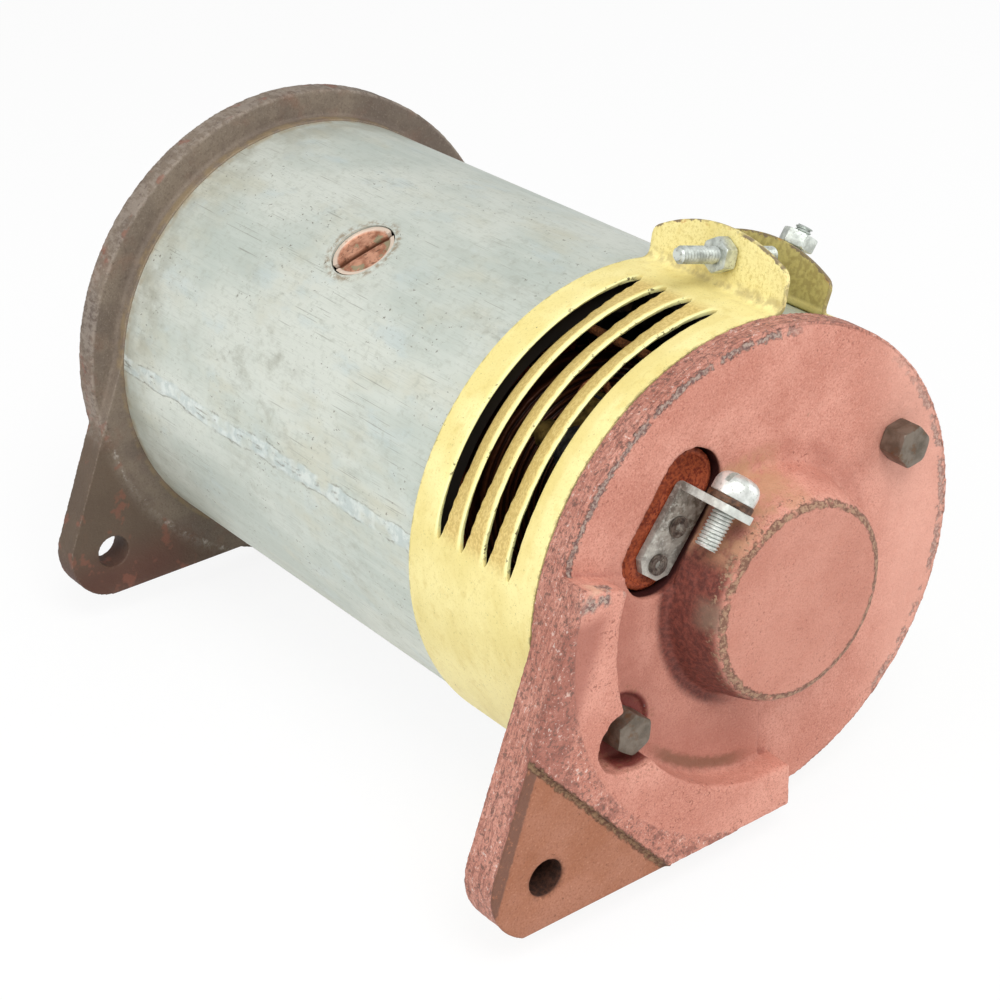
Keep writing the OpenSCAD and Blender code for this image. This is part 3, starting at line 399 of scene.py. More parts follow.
def makeYokeSteel():
    f = Finish("yokeSteel", rough=0.46, metal=0.3)
    x, y, z, r = f.axes()
    patches = f.noise(30, 4, 0.55, (1, 0.6, 1))
    f.tone = f.mixed(patches, 0.36, 0.64, (192, 200, 191), (213, 217, 207))
    warm = f.noise(16, 4, 0.6, (1, 0.5, 1), shift=0.4)
    f.stain(f.between(warm, 0.5, 0.72), 0.7, (202, 200, 180))
    bluish = f.noise(8, 4, 0.6, (1, 0.5, 1), shift=1.7)
    f.stain(f.between(bluish, 0.54, 0.74), 0.5, (194, 207, 207))
    drawn = f.noise(2.4, 3, 0.6, (1, 0.05, 1), shift=2.3)        # long drawing lines, broad then fine
    f.stain(f.between(drawn, 0.42, 0.68), 0.25, (222, 226, 218))
    scratches = f.noise(0.34, 3, 0.7, (1, 0.05, 1))
    f.stain(f.between(scratches, 0.5, 0.68), 0.26, (164, 170, 160))
    mottle = f.noise(1.5, 4, 0.7, (1, 0.7, 1), shift=4.4)
    f.stain(f.between(mottle, 0.5, 0.7), 0.34, (166, 170, 156))
    lines = f.both(f.between(f.noise(0.4, 1, 0.5, (1, 0.02, 1), shift=3.0), 0.68, 0.71),
                   f.between(f.noise(9, 2, 0.5, (1, 0.2, 1), shift=6.0), 0.54, 0.6))
    f.stain(lines, 0.5, (130, 128, 116))
    specks = f.both(f.between(f.noise(0.8, 3, 0.6, (1, 0.6, 1), shift=2.0), 0.645, 0.69),
                    f.between(f.noise(17, 2, shift=5.0), 0.42, 0.6))
    f.stain(specks, 0.8, (112, 106, 92))
    grime = f.both(f.between(f.noise(5, 5, 0.7, (1, 0.5, 1), shift=7.0), 0.46, 0.72),
                   f.between(f.noise(34, 2, shift=9.0), 0.42, 0.66))
    f.stain(grime, 0.55, (150, 150, 134))
    ends = f.both(f.between(y, 150, 172), f.between(f.noise(9, 4, 0.65, shift=8.0), 0.36, 0.62))
    f.stain(ends, 0.45, (160, 158, 140))
    brown = f.both(f.between(y, 171.0, 173.3), f.between(f.noise(4, 3, shift=3.3), 0.4, 0.6))
    f.stain(brown, 0.6, (170, 150, 112))
    # a burr and dirt round the pole screw
    turn = f.angle(x, z)
    dirt = f.both(f.band(f.fromPole(turn, y), 8.3, 9.8, 0.8),
                  f.between(f.noise(1.6, 4, 0.7, shift=31), 0.42, 0.6), f.between(r, 55.4, 55.8))
    f.stain(dirt, 0.7, (140, 112, 74))
    # pale lumps and broken dark lines along the weld
    wander = f.times(f.minus(f.noise(16, 2, 0.5, (0.3, 1, 0.3), shift=41), 0.5), 3.4)
    side = f.calc("ABSOLUTE", f.plus(f.minus(turn, marks["weldAngle"]), wander))
    ragged = f.plus(side, f.times(f.minus(f.noise(3.0, 5, 0.7, (1, 0.4, 1), shift=6), 0.5), 3.4))
    fused = f.both(f.between(ragged, 2.6, 1.6), f.between(f.noise(7, 2, shift=44), 0.3, 0.5))
    lumps = f.mixed(f.noise(2.2, 4, 0.6, shift=12), 0.4, 0.6, (190, 203, 203), (224, 232, 230))
    f.stain(fused, 0.6, lumps)
    split = f.both(f.band(ragged, 2.1, 2.4, 0.2), f.between(f.noise(8, 4, 0.6, shift=47), 0.44, 0.6))
    split = f.either(split, f.both(f.band(ragged, 0.2, 0.6, 0.2),
                                   f.between(f.noise(6, 3, 0.6, shift=52), 0.5, 0.6)))
    f.stain(split, 0.65, (116, 110, 96))
    # painted shade: the lower side of the tube darker
    low = f.both(f.between(z, -8, -48), f.between(r, 55.4, 55.8))
    f.stain(low, 0.3, (172, 172, 152))
    # painted shade: the inside of the tube near black
    f.stain(f.between(r, 55.0, 54.2), 1, (44, 40, 36))
    f.gloss(patches, 0.54, 0.4)
    f.relieve(scratches, 0.02)
    f.relieve(f.noise(1.3, 4, 0.6, (1, 0.5, 1)), 0.03)
    f.relieve(f.both(fused, f.noise(2.2, 4, 0.6, shift=12)), 0.3)
    return f.painted()


def makeRedPrimer():
    f = Finish("redPrimer", rough=0.66, specular=0.3)
    x, y, z, r = f.axes()
    angle = f.angle(x, z)
    chips = f.noise(1.1, 4, 0.72, shift=9)
    runs = f.noise(7, 3, 0.6, shift=4)
    grain = f.noise(0.42, 3, 0.65, shift=2)
    wobble = f.minus(f.noise(1.5, 4, 0.7, shift=33), 0.5)
    f.tone = f.mixed(f.noise(19, 3, 0.5), 0.34, 0.66, (194, 131, 113), (213, 152, 134))
    f.stain(f.between(f.noise(4, 4, 0.6, shift=1), 0.46, 0.7), 0.35, (186, 120, 102))
    f.stain(f.between(grain, 0.5, 0.66), 0.55, (164, 96, 80))
    f.stain(f.between(grain, 0.46, 0.32), 0.4, (228, 172, 156))
    # pits, thickest near the castings' corners
    coarse = f.either(f.between(r, 44, 54), f.band(r, 20, 30, 2), f.between(y, -4.5, -6.5))
    pits = f.both(f.between(f.noise(0.75, 3, 0.6, shift=27), 0.6, 0.66),
                  f.between(f.noise(8, 3, 0.6, shift=28), 0.4, 0.56), coarse)
    f.stain(pits, 0.7, (134, 78, 62))
    # boss: a little duller on its face, dark on its left side
    bossFace = f.both(f.between(r, 22.4, 21.6), f.between(y, -12.8, -13.2))
    f.stain(bossFace, 0.45, (178, 120, 102))
    # painted shade in patches round the boss's foot
    foot = f.both(f.band(r, 24.4, 31.5, 1.2), f.between(y, -13, -9),
                  f.between(f.noise(6, 3, shift=5), 0.3, 0.62))
    f.stain(foot, 0.35, (166, 102, 86))
    bossShade = f.both(f.band(r, 22.8, 29.0, 1.2), f.band(angle, 132, 248, 16), f.between(y, -13.5, -11.6))
    f.stain(bossShade, 0.92, f.mixed(f.noise(1.0, 4, 0.7, shift=3), 0.38, 0.64, (78, 34, 30), (122, 60, 49)))
    lit = f.both(f.between(x, 26, 46), f.between(y, -4, -1))
    f.stain(lit, 0.6, (224, 168, 150))
    # recess and bolt pocket
    # painted shade over the recess
    recess = f.both(f.between(r, 28, 38), f.between(r, 46.5, 44), f.band(angle, 158, 268, 9),
                    f.between(y, -1.8, -0.4))
    f.stain(recess, 0.75, (166, 104, 89))
    under = f.both(f.band(f.plus(r, f.times(wobble, 2.4)), 41.6, 44.2, 0.8), f.band(angle, 226, 262, 7),
                   f.between(y, -5.5, -3.5))
    f.stain(under, 0.7, (122, 88, 66))
    pocket = f.span(f.minus(x, marks["pocket"][0]), f.minus(z, marks["pocket"][1]))
    # painted shade inside the bolt pocket
    pocketShade = f.both(f.between(pocket, 8.4, 7.4), f.between(y, -6.9, -5.4), f.between(y, 5.0, 4.0))
    f.stain(pocketShade, 0.9, (112, 42, 38))
    lip = f.both(f.band(pocket, 6.0, 9.5, 1.0), f.between(f.plus(chips, f.times(runs, 0.4)), 0.74, 0.84))
    f.stain(lip, 0.5, (140, 96, 70))
    # painted shade in the casting's hollows
    f.stain(f.hollowShade(0.495, 0.45), 0.6, (146, 82, 70))
    # painted shade where the pad falls away towards the lug's left flank
    flank = f.minus(57.0, f.plus(f.times(x, -0.9348), f.times(z, 0.3551)))
    flank = f.plus(flank, f.times(wobble, 1.2))
    slopeShade = f.both(f.between(flank, 10.0, 5.6), f.between(y, -5.0, -6.5), f.between(z, 15, 11),
                    f.between(z, -36, -22))
    f.stain(slopeShade, 0.75, (158, 98, 84))
    # layered lines on the outer walls
    walls = f.both(f.between(y, -7.9, -6.6), f.either(f.between(r, 56.2, 57.2), f.between(r, 60, 66)),
                   f.between(y, -7.1, -7.0))
    outer = f.either(f.both(walls, f.between(flank, 1.1, 0.7)), f.between(r, 56.3, 56.9))
    layers = f.noise(0.9, 5, 0.75, (0.3, 1.5, 0.3), shift=6)
    f.stain(f.both(outer, f.between(layers, 0.46, 0.62)), 0.75, (138, 88, 76))
    f.stain(f.both(outer, f.between(layers, 0.4, 0.3)), 0.75, (226, 200, 186))
    f.stain(f.both(outer, f.between(chips, 0.54, 0.6)), 0.7, (104, 80, 72))
    f.stain(f.both(outer, f.between(chips, 0.4, 0.34)), 0.6, (236, 220, 210))
    # tan patch over the boss
    patch = f.both(f.band(r, 23, 31, 1.6), f.band(angle, 84, 142, 8),
                   f.between(f.noise(5, 4, 0.6, shift=1), 0.32, 0.54))
    f.stain(patch, 0.75, (190, 146, 112))
    spots = f.between(f.noise(5, 5, 0.65, shift=12), 0.69, 0.73)
    f.stain(spots, 0.5, (146, 110, 88))
    # bare metal where the paint has gone
    metal = f.mixed(f.noise(0.8, 3, 0.6, shift=3), 0.4, 0.6, (98, 80, 78), (170, 154, 142))
    rimPlace = f.plus(r, f.times(wobble, 4.0))
    rim = f.both(f.band(rimPlace, 54.7, 56.2, 0.3), f.between(y, 3.0, 1.6), f.between(y, -1.2, -0.6),
                 f.between(f.noise(5, 3, 0.6, shift=36), 0.4, 0.5))
    rim = f.both(rim, f.either(f.band(angle, 80, 172, 6),
                               f.times(f.either(f.between(angle, 300, 312), f.between(angle, 60, 20)), 0.7)))
    bossPlace = f.plus(r, f.times(wobble, 2.2))
    bossLine = f.both(f.band(bossPlace, 21.2, 22.7, 0.25), f.between(y, -11.6, -12.6),
                      f.between(f.noise(4, 3, 0.6, shift=38), 0.34, 0.46))
    bossRough = f.both(f.band(bossPlace, 22.2, 25.0, 0.6), f.band(angle, 80, 250, 8), f.between(y, -9.5, -11),
                       f.between(f.plus(chips, f.times(runs, 0.4)), 0.72, 0.8))
    padTop = f.both(f.between(y, -4.0, -5.0), f.band(f.plus(z, f.times(wobble, 3.0)), 15.2, 18.4, 0.6),
                    f.band(r, 46, 56.6, 1.5), f.between(f.noise(3.4, 2, 0.5, shift=21), 0.4, 0.5))
    worn = f.either(rim, padTop, f.both(f.edges(0.54, 0.6), f.between(chips, 0.5, 0.6)))
    f.stain(worn, 0.88, metal)
    dull = f.mixed(f.noise(0.9, 3, 0.6, shift=39), 0.42, 0.58, (104, 76, 60), (160, 132, 106))
    f.stain(f.either(bossLine, bossRough), 0.85, dull)
    pale = f.both(f.between(y, -4.0, -5.0), f.band(f.plus(z, f.times(wobble, 2.0)), 18.4, 20.2, 0.5),
                  f.band(r, 45, 55, 2))
    f.stain(pale, 0.6, (224, 186, 158))
    grey = f.both(f.band(r, 22.8, 24.6, 0.6), f.band(angle, 162, 178, 4),
                  f.between(f.noise(6, 3, shift=7), 0.3, 0.5))
    f.stain(grey, 0.75, (128, 106, 90))
    # machined corner: below and left of the step
    reach = f.plus(f.times(x, marks["cornerSide"][0]), f.times(z, marks["cornerSide"][1]))
    corner = f.both(f.between(reach, -60.6, -60.9), f.between(y, -6.6, -7.1))
    bare = f.mixed(f.noise(14, 4, 0.6, shift=5), 0.35, 0.65, (158, 102, 74), (170, 116, 92))
    bare = f.over(bare, f.between(f.noise(0.5, 3, 0.6, shift=8), 0.5, 0.68), 0.5, (134, 82, 58))
    bare = f.over(bare, f.between(f.noise(0.5, 3, 0.6, shift=8), 0.42, 0.3), 0.4, (200, 148, 120))
    bare = f.over(bare, f.between(f.noise(1.0, 4, 0.7, shift=15), 0.63, 0.69), 0.7, (104, 64, 44))
    bare = f.over(bare, f.both(f.between(flank, 1.5, 0.9), f.between(chips, 0.3, 0.44)), 0.8, (104, 74, 62))
    f.stain(corner, 1, bare)
    stepPlace = f.plus(reach, f.times(wobble, 2.6))
    step = f.both(f.band(stepPlace, -61.9, -60.4, 0.3), f.between(y, -6.2, -6.8))
    f.stain(step, 0.9, f.mixed(chips, 0.42, 0.6, (84, 54, 38), (140, 112, 82)))
    bore = f.span(f.minus(x, marks["lug"][0]), f.minus(z, marks["lug"][1]))
    # painted shade inside the lug's bore
    f.stain(f.both(f.between(bore, 4.75, 4.5), f.between(y, -7.3, -6.6)), 1, (58, 38, 30))
    f.stain(f.both(f.between(bore, 5.6, 4.6), f.between(chips, 0.4, 0.6)), 0.5, (112, 70, 52))
    # painted shade on the wall of the terminal's slot, and the back darker
    c, d = math.cos(math.radians(marks["slotAngle"])), math.sin(math.radians(marks["slotAngle"]))
    along = f.calc("ABSOLUTE", f.minus(f.plus(f.times(x, c), f.times(z, d)), marks["slotMiddle"]))
    side = f.minus(f.minus(f.times(z, c), f.times(x, d)), marks["slotSide"])
    slot = f.span(f.calc("MAXIMUM", f.minus(along, marks["slotHalf"]), 0.0), side)
    f.stain(f.both(f.between(slot, 9.0, 8.5), f.between(y, -0.05, 0.9)), 1, (56, 20, 18))
    f.stain(f.between(y, 5.2, 5.8), 1, (104, 60, 52))
    f.gloss(chips, 0.72, 0.56)
    bumps = f.minus(1.0, corner)
    f.relieve(f.both(grain, bumps), 0.16)
    f.relieve(f.both(f.noise(2.2, 4, 0.6, shift=2), bumps), 0.26)
    f.relieve(f.both(outer, layers), 0.5)
    f.relieve(f.minus(1.0, f.either(bossLine, rim, step)), 0.35)
    return f.painted()


def makeGreyIron():
    f = Finish("greyIron", rough=0.66, specular=0.3)
    x, y, z, r = f.axes()
    f.tone = f.mixed(f.noise(18, 4, 0.6), 0.35, 0.65, (104, 92, 82), (126, 113, 99))
    f.stain(f.between(f.noise(0.6, 3, 0.6, shift=3), 0.48, 0.68), 0.4, (90, 76, 68))
    f.stain(f.between(f.noise(0.5, 3, 0.6, shift=7), 0.56, 0.68), 0.3, (154, 140, 126))
    rust = f.between(f.noise(11, 4, 0.6, shift=6), 0.5, 0.74)
    f.stain(rust, 0.4, (130, 90, 72))
    lug = f.both(f.between(r, 60, 67), f.between(z, -6, -16), f.between(x, 0, -10))
    f.stain(lug, 0.75, (84, 68, 54))
    tip = f.both(f.between(z, -38, -52), f.between(x, -36, -52))
    f.stain(tip, 0.75, (86, 52, 43))
    seam = f.both(f.band(r, 56.1, 57.2, 0.4), f.between(f.noise(4, 3, shift=1), 0.38, 0.6),
                  f.between(y, 176.4, 175))
    f.stain(seam, 0.5, (150, 130, 94))
    skin = f.noise(1.2, 4, 0.7, (1, 0.5, 1), shift=5)
    shore = f.minus(1.0, lug)
    worn = f.both(f.between(r, 62.4, 63.2), shore,
                  f.between(f.plus(skin, f.times(f.noise(8, 3, shift=2), 0.6)), 0.7, 0.9))
    f.stain(worn, 0.5, (156, 145, 134))
    bright = f.both(f.band(r, 62.6, 64.0, 0.4), shore, f.band(y, 173.0, 175.2, 0.5),
                    f.between(f.noise(3.4, 4, 0.7, shift=14), 0.56, 0.64))
    f.stain(bright, 0.75, (196, 190, 182))
    dark = f.both(f.between(r, 61.0, 62.6), shore, f.between(f.noise(1.6, 4, 0.7, shift=12), 0.58, 0.68))
    f.stain(dark, 0.6, (84, 68, 62))
    patches = f.both(f.between(r, 62.4, 63.2), f.between(f.noise(6, 3, 0.6, shift=19), 0.58, 0.66))
    f.stain(patches, 0.5, (136, 84, 68))
    f.stain(f.edges(0.53, 0.6), 0.45, (168, 156, 142))
    f.relieve(f.noise(0.45, 3, 0.6), 0.1)
    f.relieve(f.noise(2.2, 4, 0.6, shift=2), 0.2)
    return f.painted()


def makeYellowBand(band):
    f = Finish("yellowBand", rough=0.5, specular=0.35)
    x, y, z, r = f.axes()
    f.tone = f.mixed(f.noise(15, 3, 0.55), 0.35, 0.65, (229, 213, 140), (240, 227, 160))
    f.stain(f.between(f.noise(3.2, 4, 0.6, shift=2), 0.5, 0.75), 0.45, (214, 192, 112))
    grain = f.noise(0.5, 3, 0.65, shift=8)
    f.stain(f.between(grain, 0.52, 0.7), 0.3, (190, 170, 98))
    specks = f.between(f.noise(0.7, 3, 0.65, shift=5), 0.65, 0.71)
    f.stain(specks, 0.55, (142, 138, 84))
    angle = f.angle(x, z)
    half = f.calc("FLOORED_MODULO", angle, 180.0)
    louvres = f.band(half, band["slotFrom"] + 1, band["slotTo"] - 1, 2.5)
    for row in band["rows"]:
        back = row + band["slotHalf"]
        if row != band["rows"][-1]:
            # painted shade on each pressed slat's slope
            slope = f.both(louvres, f.band(y, back + 0.75, back + band["slat"] + 0.2, 0.3))
            slatShade = f.mixed(f.noise(0.7, 3, 0.6, shift=row), 0.4, 0.62, (196, 166, 92), (222, 196, 124))
            f.stain(slope, 0.9, slatShade)
        # painted highlight along each slot's raised lip
        lip = f.both(louvres, f.band(y, back - 0.4, back + 0.45, 0.15))
        f.stain(lip, 0.8, (240, 240, 176))
        nicks = f.both(louvres, f.band(y, back - 0.5, back + 0.5, 0.3),
                       f.between(f.noise(1.6, 4, 0.75, shift=row * 2), 0.56, 0.62),
                       f.between(f.noise(9, 2, shift=row * 3), 0.46, 0.54))
        f.stain(nicks, 1, (110, 98, 66))
    # painted shade on the pressed slope in front of the first slot
    first = f.both(louvres, f.band(y, band["rows"][0] - 4.5, band["rows"][0], 0.8))
    f.stain(first, 0.35, (222, 200, 120))
    # the ears are dirtier and chipped along their tops
    out = f.between(r, 58.6, 59.8)
    ears = f.both(out, f.band(angle, 60, 84, 1))
    f.stain(f.both(ears, f.between(f.noise(0.8, 4, 0.7, shift=11), 0.48, 0.66)), 0.45, (190, 168, 84))
    olive = f.both(f.between(r, 57.6, 58.6), f.between(angle, 73.5, 72), f.between(angle, 58, 60))
    f.stain(olive, 0.85, f.mixed(f.noise(1.2, 4, shift=4), 0.38, 0.62, (176, 164, 98), (146, 132, 76)))
    reach = f.calc("SQRT", f.minus(band["earRound"] ** 2,
                                  f.calc("POWER", f.minus(y, band["earMiddle"]), 2.0)))
    top = f.plus(reach, band["radius"] + band["earTop"] - band["earRound"])
    top = f.minus(top, f.times(f.between(angle, 73.5, 72), band["earDrop"]))
    below = f.minus(top, r)
    ragged = f.times(f.noise(2.2, 4, 0.7, shift=3), 3.0)
    where = f.between(f.noise(6, 2, shift=14), 0.47, 0.53)
    rust = f.both(ears, f.between(f.minus(ragged, below), 0.6, 1.1),
                  f.between(f.noise(5, 2, shift=10), 0.54, 0.62))
    f.stain(rust, 0.7, (188, 122, 50))
    chips = f.both(ears, f.between(f.minus(ragged, below), 0.9, 1.15), where)
    f.stain(chips, 0.9, (116, 100, 84))
    rimLine = f.both(ears, f.between(below, 0.45, 0.2), f.between(f.noise(1.6, 3, shift=18), 0.42, 0.56))
    f.stain(rimLine, 0.45, (140, 124, 82))
    foot = f.both(f.band(r, 57.3, 59.6, 0.7), f.band(angle, 78.8, 83.5, 0.8),
                  f.between(f.noise(2.4, 4, shift=7), 0.36, 0.62))
    f.stain(foot, 0.65, (160, 142, 96))
    ends = f.both(f.either(f.between(y, band["end"] - 0.6, band["end"] - 0.1),
                           f.between(y, band["start"] + 0.6, band["start"] + 0.1)),
                  f.between(f.noise(2, 4, 0.7, shift=13), 0.46, 0.6))
    f.stain(ends, 0.6, (136, 124, 84))
    nicks = f.both(f.between(f.noise(1.5, 4, 0.75, (1, 1.6, 1), shift=21), 0.68, 0.71),
                   f.between(f.noise(12, 2, shift=17), 0.5, 0.56))
    f.stain(nicks, 1, (94, 82, 58))
    # painted shade on the deepest pressed parts, seen through the slots
    f.stain(f.between(r, 54.8, 54.2), 1, (112, 96, 56))
    f.relieve(f.noise(0.6, 3, 0.6), 0.05)
    f.relieve(f.noise(5, 3, 0.5, shift=3), 0.2)
    return f.painted()


def makeZinc(name="zincPlate", bright=(216, 222, 216), dull=(176, 182, 176), rough=0.38):
    f = Finish(name, rough=rough, metal=0.55)
    f.tone = f.mixed(f.noise(2.2, 4, 0.6), 0.36, 0.64, dull, bright)
    f.stain(f.between(f.noise(0.7, 3, 0.6, shift=3), 0.58, 0.7), 0.6, (132, 130, 120))
    # painted shade in the hollows, the threads' roots among them
    f.stain(f.hollowShade(0.492, 0.44), 0.75, (84, 84, 78))
    f.gloss(f.noise(1.2, 3), rough + 0.12, rough - 0.06)
    f.relieve(f.noise(0.5, 3, 0.6), 0.03)
    return f.painted()


def makeSteel(name, light, dark, rough, metal=0.6, size=2.0, relief=0.04, rust=None, stretch=(1, 1, 1)):
    f = Finish(name, rough=rough, metal=metal)
    f.tone = f.mixed(f.noise(size, 4, 0.6, stretch), 0.36, 0.64, dark, light)
    if rust:
        spots = f.both(f.between(f.noise(size * 0.8, 4, 0.7, shift=4), 0.5, 0.62),
                       f.between(f.noise(size * 3, 2, shift=6), 0.4, 0.6))
        f.stain(spots, 0.8, rust)
    f.gloss(f.noise(size * 0.5, 3, shift=2), rough + 0.1, rough - 0.08)
    f.relieve(f.noise(size * 0.35, 3, 0.6, stretch), relief)
    return f.painted()


def makeRusty():
    f = Finish("rustyScrew", rough=0.5, metal=0.35)
    x, y, z, r = f.axes()
    f.tone = f.mixed(f.noise(2.6, 4, 0.6), 0.36, 0.64, (158, 104, 78), (206, 152, 124))
    f.stain(f.between(f.noise(1.4, 4, 0.7, shift=3), 0.56, 0.66), 0.8, (100, 68, 48))
    f.stain(f.between(f.noise(4.0, 3, 0.6, shift=6), 0.56, 0.62), 0.8, (150, 148, 118))
    rim = f.both(f.between(f.fromPole(f.angle(x, z), y), 6.5, 7.0),
                 f.between(f.noise(1.8, 3, 0.6, shift=5), 0.28, 0.42))
    f.stain(rim, 0.9, (228, 210, 192))
    # painted shade in the head's slot and below
    f.stain(f.between(r, 55.0, 54.2), 1, (112, 72, 52))
    f.relieve(f.noise(0.9, 4, 0.7), 0.12)
    return f.painted()


def makeFibre(name="redFibre", light=(172, 84, 50), dark=(112, 40, 24)):
    f = Finish(name, rough=0.55, specular=0.4)
    weave = f.noise(0.55, 3, 0.6)
    f.tone = f.mixed(weave, 0.36, 0.62, dark, light)
    f.stain(f.between(f.noise(4, 3, shift=4), 0.45, 0.7), 0.4, light)
    f.relieve(weave, 0.1)
    return f.painted()


def makeTape():
    f = Finish("coilTape", rough=0.6, specular=0.4)
    x, y, z, r = f.axes()
    laps = f.calc("SINE", f.times(f.plus(y, f.times(f.angle(x, z), 0.35)), 1.1))
    f.tone = f.mixed(laps, -0.9, -0.3, (52, 36, 24), (104, 78, 50))
    f.stain(f.between(f.noise(0.4, 2), 0.45, 0.6), 0.4, (130, 100, 66))
    f.relieve(laps, 0.3)
    f.relieve(f.noise(0.4, 2), 0.06)
    return f.painted()


def makeWires():
    f = Finish("windingCopper", rough=0.38, metal=0.3)
    x, y, z, r = f.axes()
    strands = f.calc("SINE", f.times(r, 5.2))
    f.tone = f.mixed(strands, -0.6, 0.7, (50, 24, 16), (104, 58, 34))
    f.stain(f.between(f.noise(3, 3), 0.45, 0.7), 0.5, (70, 34, 18))
    f.relieve(strands, 0.25)
    return f.painted()


def makeCloth(name, light, dark, weave=0.5):
    f = Finish(name, rough=0.85, specular=0.2)
    f.tone = f.mixed(f.noise(weave, 3, 0.7), 0.38, 0.62, dark, light)
    f.relieve(f.cells(weave), 0.12)
    return f.painted()


coverBand = {        # mm and degrees; y is counted from the disc's face
    "radius": 57.0, "start": 6.1, "end": 48.4, "sheet": 0.98,
    "firstEar": 78.3, "secondEar": 66.9, "earTop": 13.1, "earDrop": 1.6,
    "earRound": 43.4, "earMiddle": 25.75, "bend": 1.8,
    "slotFrom": 89.0, "slotTo": 166.4, "rows": (14.9, 22.9, 30.9, 38.9), "slotHalf": 1.1, "slat": 5.8,
    "pressed": (0.7, 2.0, 2.2, 2.3), "lipDrop": 0.45, "lipRise": 0.25,
    "slope": {0: 1.0, -1.1: 0.74, -2.4: 0.44, -3.8: 0.17, -5.0: 0.0}, "stages": 6, "stage": 3.2,
    "narrow": ((0.2, 0.35), (1.7, 0.27), (3.2, 0.14)), "earCorner": 1.6, "earSteps": 6,
}
finishes = {
    "yoke_steel": makeYokeSteel(),
    "red_primer": makeRedPrimer(),
    "grey_iron": makeGreyIron(),
    "yellow_band": makeYellowBand(coverBand),
    "zinc": makeZinc(),
    "dark_steel": makeSteel("darkSteel", (122, 111, 99), (92, 82, 70), 0.46, 0.45, 3.6, 0.05, (104, 76, 52)),
    "bright_steel": makeSteel("brightSteel", (190, 190, 186), (158, 158, 155), 0.34, 0.8, 1.6, 0.02, None,
                              (0.25, 4, 0.25)),
    "pole_iron": makeSteel("poleIron", (96, 92, 88), (62, 60, 58), 0.5, 0.6, 3.0, 0.05, (96, 70, 52)),
    "rusty_steel": makeRusty(),
    "coil_tape": makeTape(),
    "lead_cotton": makeCloth("leadCotton", (136, 86, 50), (84, 48, 26)),
    "red_fibre": makeFibre(),
    "brown_washer": makeSteel("brownWasher", (112, 84, 66), (66, 48, 38), 0.55, 0.4, 1.2, 0.06,
                              (130, 84, 54)),
    "holder_brass": makeSteel("holderBrass", (192, 164, 98), (140, 114, 62), 0.36, 0.85, 2.0, 0.03,
                              (96, 82, 50)),
    "carbon": makeSteel("carbonBrush", (62, 62, 66), (38, 38, 42), 0.45, 0.1, 0.5, 0.04),
    "spring_steel": makeSteel("springSteel", (110, 112, 124), (70, 72, 84), 0.3, 0.9, 1.5, 0.02),
    "copper_braid": makeCloth("copperBraid", (190, 122, 82), (120, 66, 40), 0.4),
    "bearing_steel": makeSteel("bearingSteel", (208, 210, 212), (176, 178, 182), 0.18, 1.0, 3.0, 0.01, None,
                               (1, 8, 1)),
    "cage_brass": makeSteel("cageBrass", (206, 170, 96), (156, 122, 60), 0.3, 0.9, 1.6, 0.02),
    "terminal_stain": makeSteel("rivetZinc", (132, 122, 112), (84, 74, 68), 0.42, 0.6, 1.2, 0.05),
    "felt": makeCloth("oiledFelt", (132, 122, 104), (92, 84, 70), 0.8),
    "core_iron": makeSteel("coreIron", (112, 108, 104), (70, 68, 66), 0.42, 0.7, 0.5, 0.06, (100, 74, 52),
                           (0.2, 3, 0.2)),
    "winding_copper": makeWires(),
    "commutator_copper": makeSteel("commutatorCopper", (214, 140, 98), (160, 92, 60), 0.28, 0.95, 0.7, 0.03,
                                   (84, 56, 44), (0.3, 3, 0.3)),
    "moulding": makeFibre("brownMoulding", (66, 48, 38), (42, 30, 24)),
}
print("finishes made:", len(finishes))


# castings: merged copies of the solids, their edges softened as cast

bodyOf = {node: body for body, names in frame["record"]["behaviour"]["bodies"].items() for node in names}
slotOf = {part["node"]: part["material_slot"] for part in frame["record"]["subparts"]}

castings = {
    "commutatorBell": {"node": "commutator_end_bell", "voxel": 0.42, "limit": 185000, "rounds": 5,
                       "grit": 0.16},
    "driveBell": {"node": "drive_end_bell", "voxel": 0.48, "limit": 150000, "rounds": 4, "grit": 0.12},
}
# grain in mm, softer edges in times the rounds, share of the skin that is sunk
castSand = {"grain": 2.2, "softer": 6, "level": 0.95, "quickVoxel": 1.8}


def makeCasting(name, finish, slotName, isSoft, isRough):
    settings = castings[name]
    piece = copyOf(name, settings["node"])
    voxel = settings["voxel"] * 1
    modify(piece, "REMESH", mode="VOXEL", voxel_size=voxel * mm, adaptivity=0)
    soft = piece.vertex_groups.new(name="softEdges")
    rough = piece.vertex_groups.new(name="castSkin")
    softOnes, roughOnes = [], []
    for corner in piece.data.vertices:
        spot = Spot(corner.co, corner)
        if isSoft(spot):
            softOnes.append(corner.index)
        if isRough(spot):
            roughOnes.append(corner.index)
    soft.add(softOnes, 1, "REPLACE")
    rough.add(roughOnes, 1, "REPLACE")
    modify(piece, "SMOOTH", factor=0.5, iterations=settings["rounds"], vertex_group="castSkin")
    modify(piece, "SMOOTH", factor=0.5, iterations=settings["rounds"] * castSand["softer"],
           vertex_group="softEdges")
    grit = bpy.data.textures.new(name + "Grit", "CLOUDS")
    grit.noise_scale, grit.noise_depth = castSand["grain"] * mm, 3
    modify(piece, "DISPLACE", texture=grit, texture_coords="LOCAL", strength=settings["grit"] * mm * 2,
           mid_level=castSand["level"], vertex_group="castSkin")
    thin(piece, settings["limit"])
    done(piece, finish, slotName, settings["node"], smooth=180)


def fromLug(spot):       # mm from the middle of a lug's hole
    return math.hypot(spot.x - marks["lug"][0], spot.z - marks["lug"][1])


def fromPocket(spot):
    return math.hypot(spot.x - marks["pocket"][0], spot.z - marks["pocket"][1])


def inCorner(spot):      # the machined corner of the commutator end lug
    return spot.y < -6.6 and marks["cornerSide"][0] * spot.x + marks["cornerSide"][1] * spot.z < -60.2


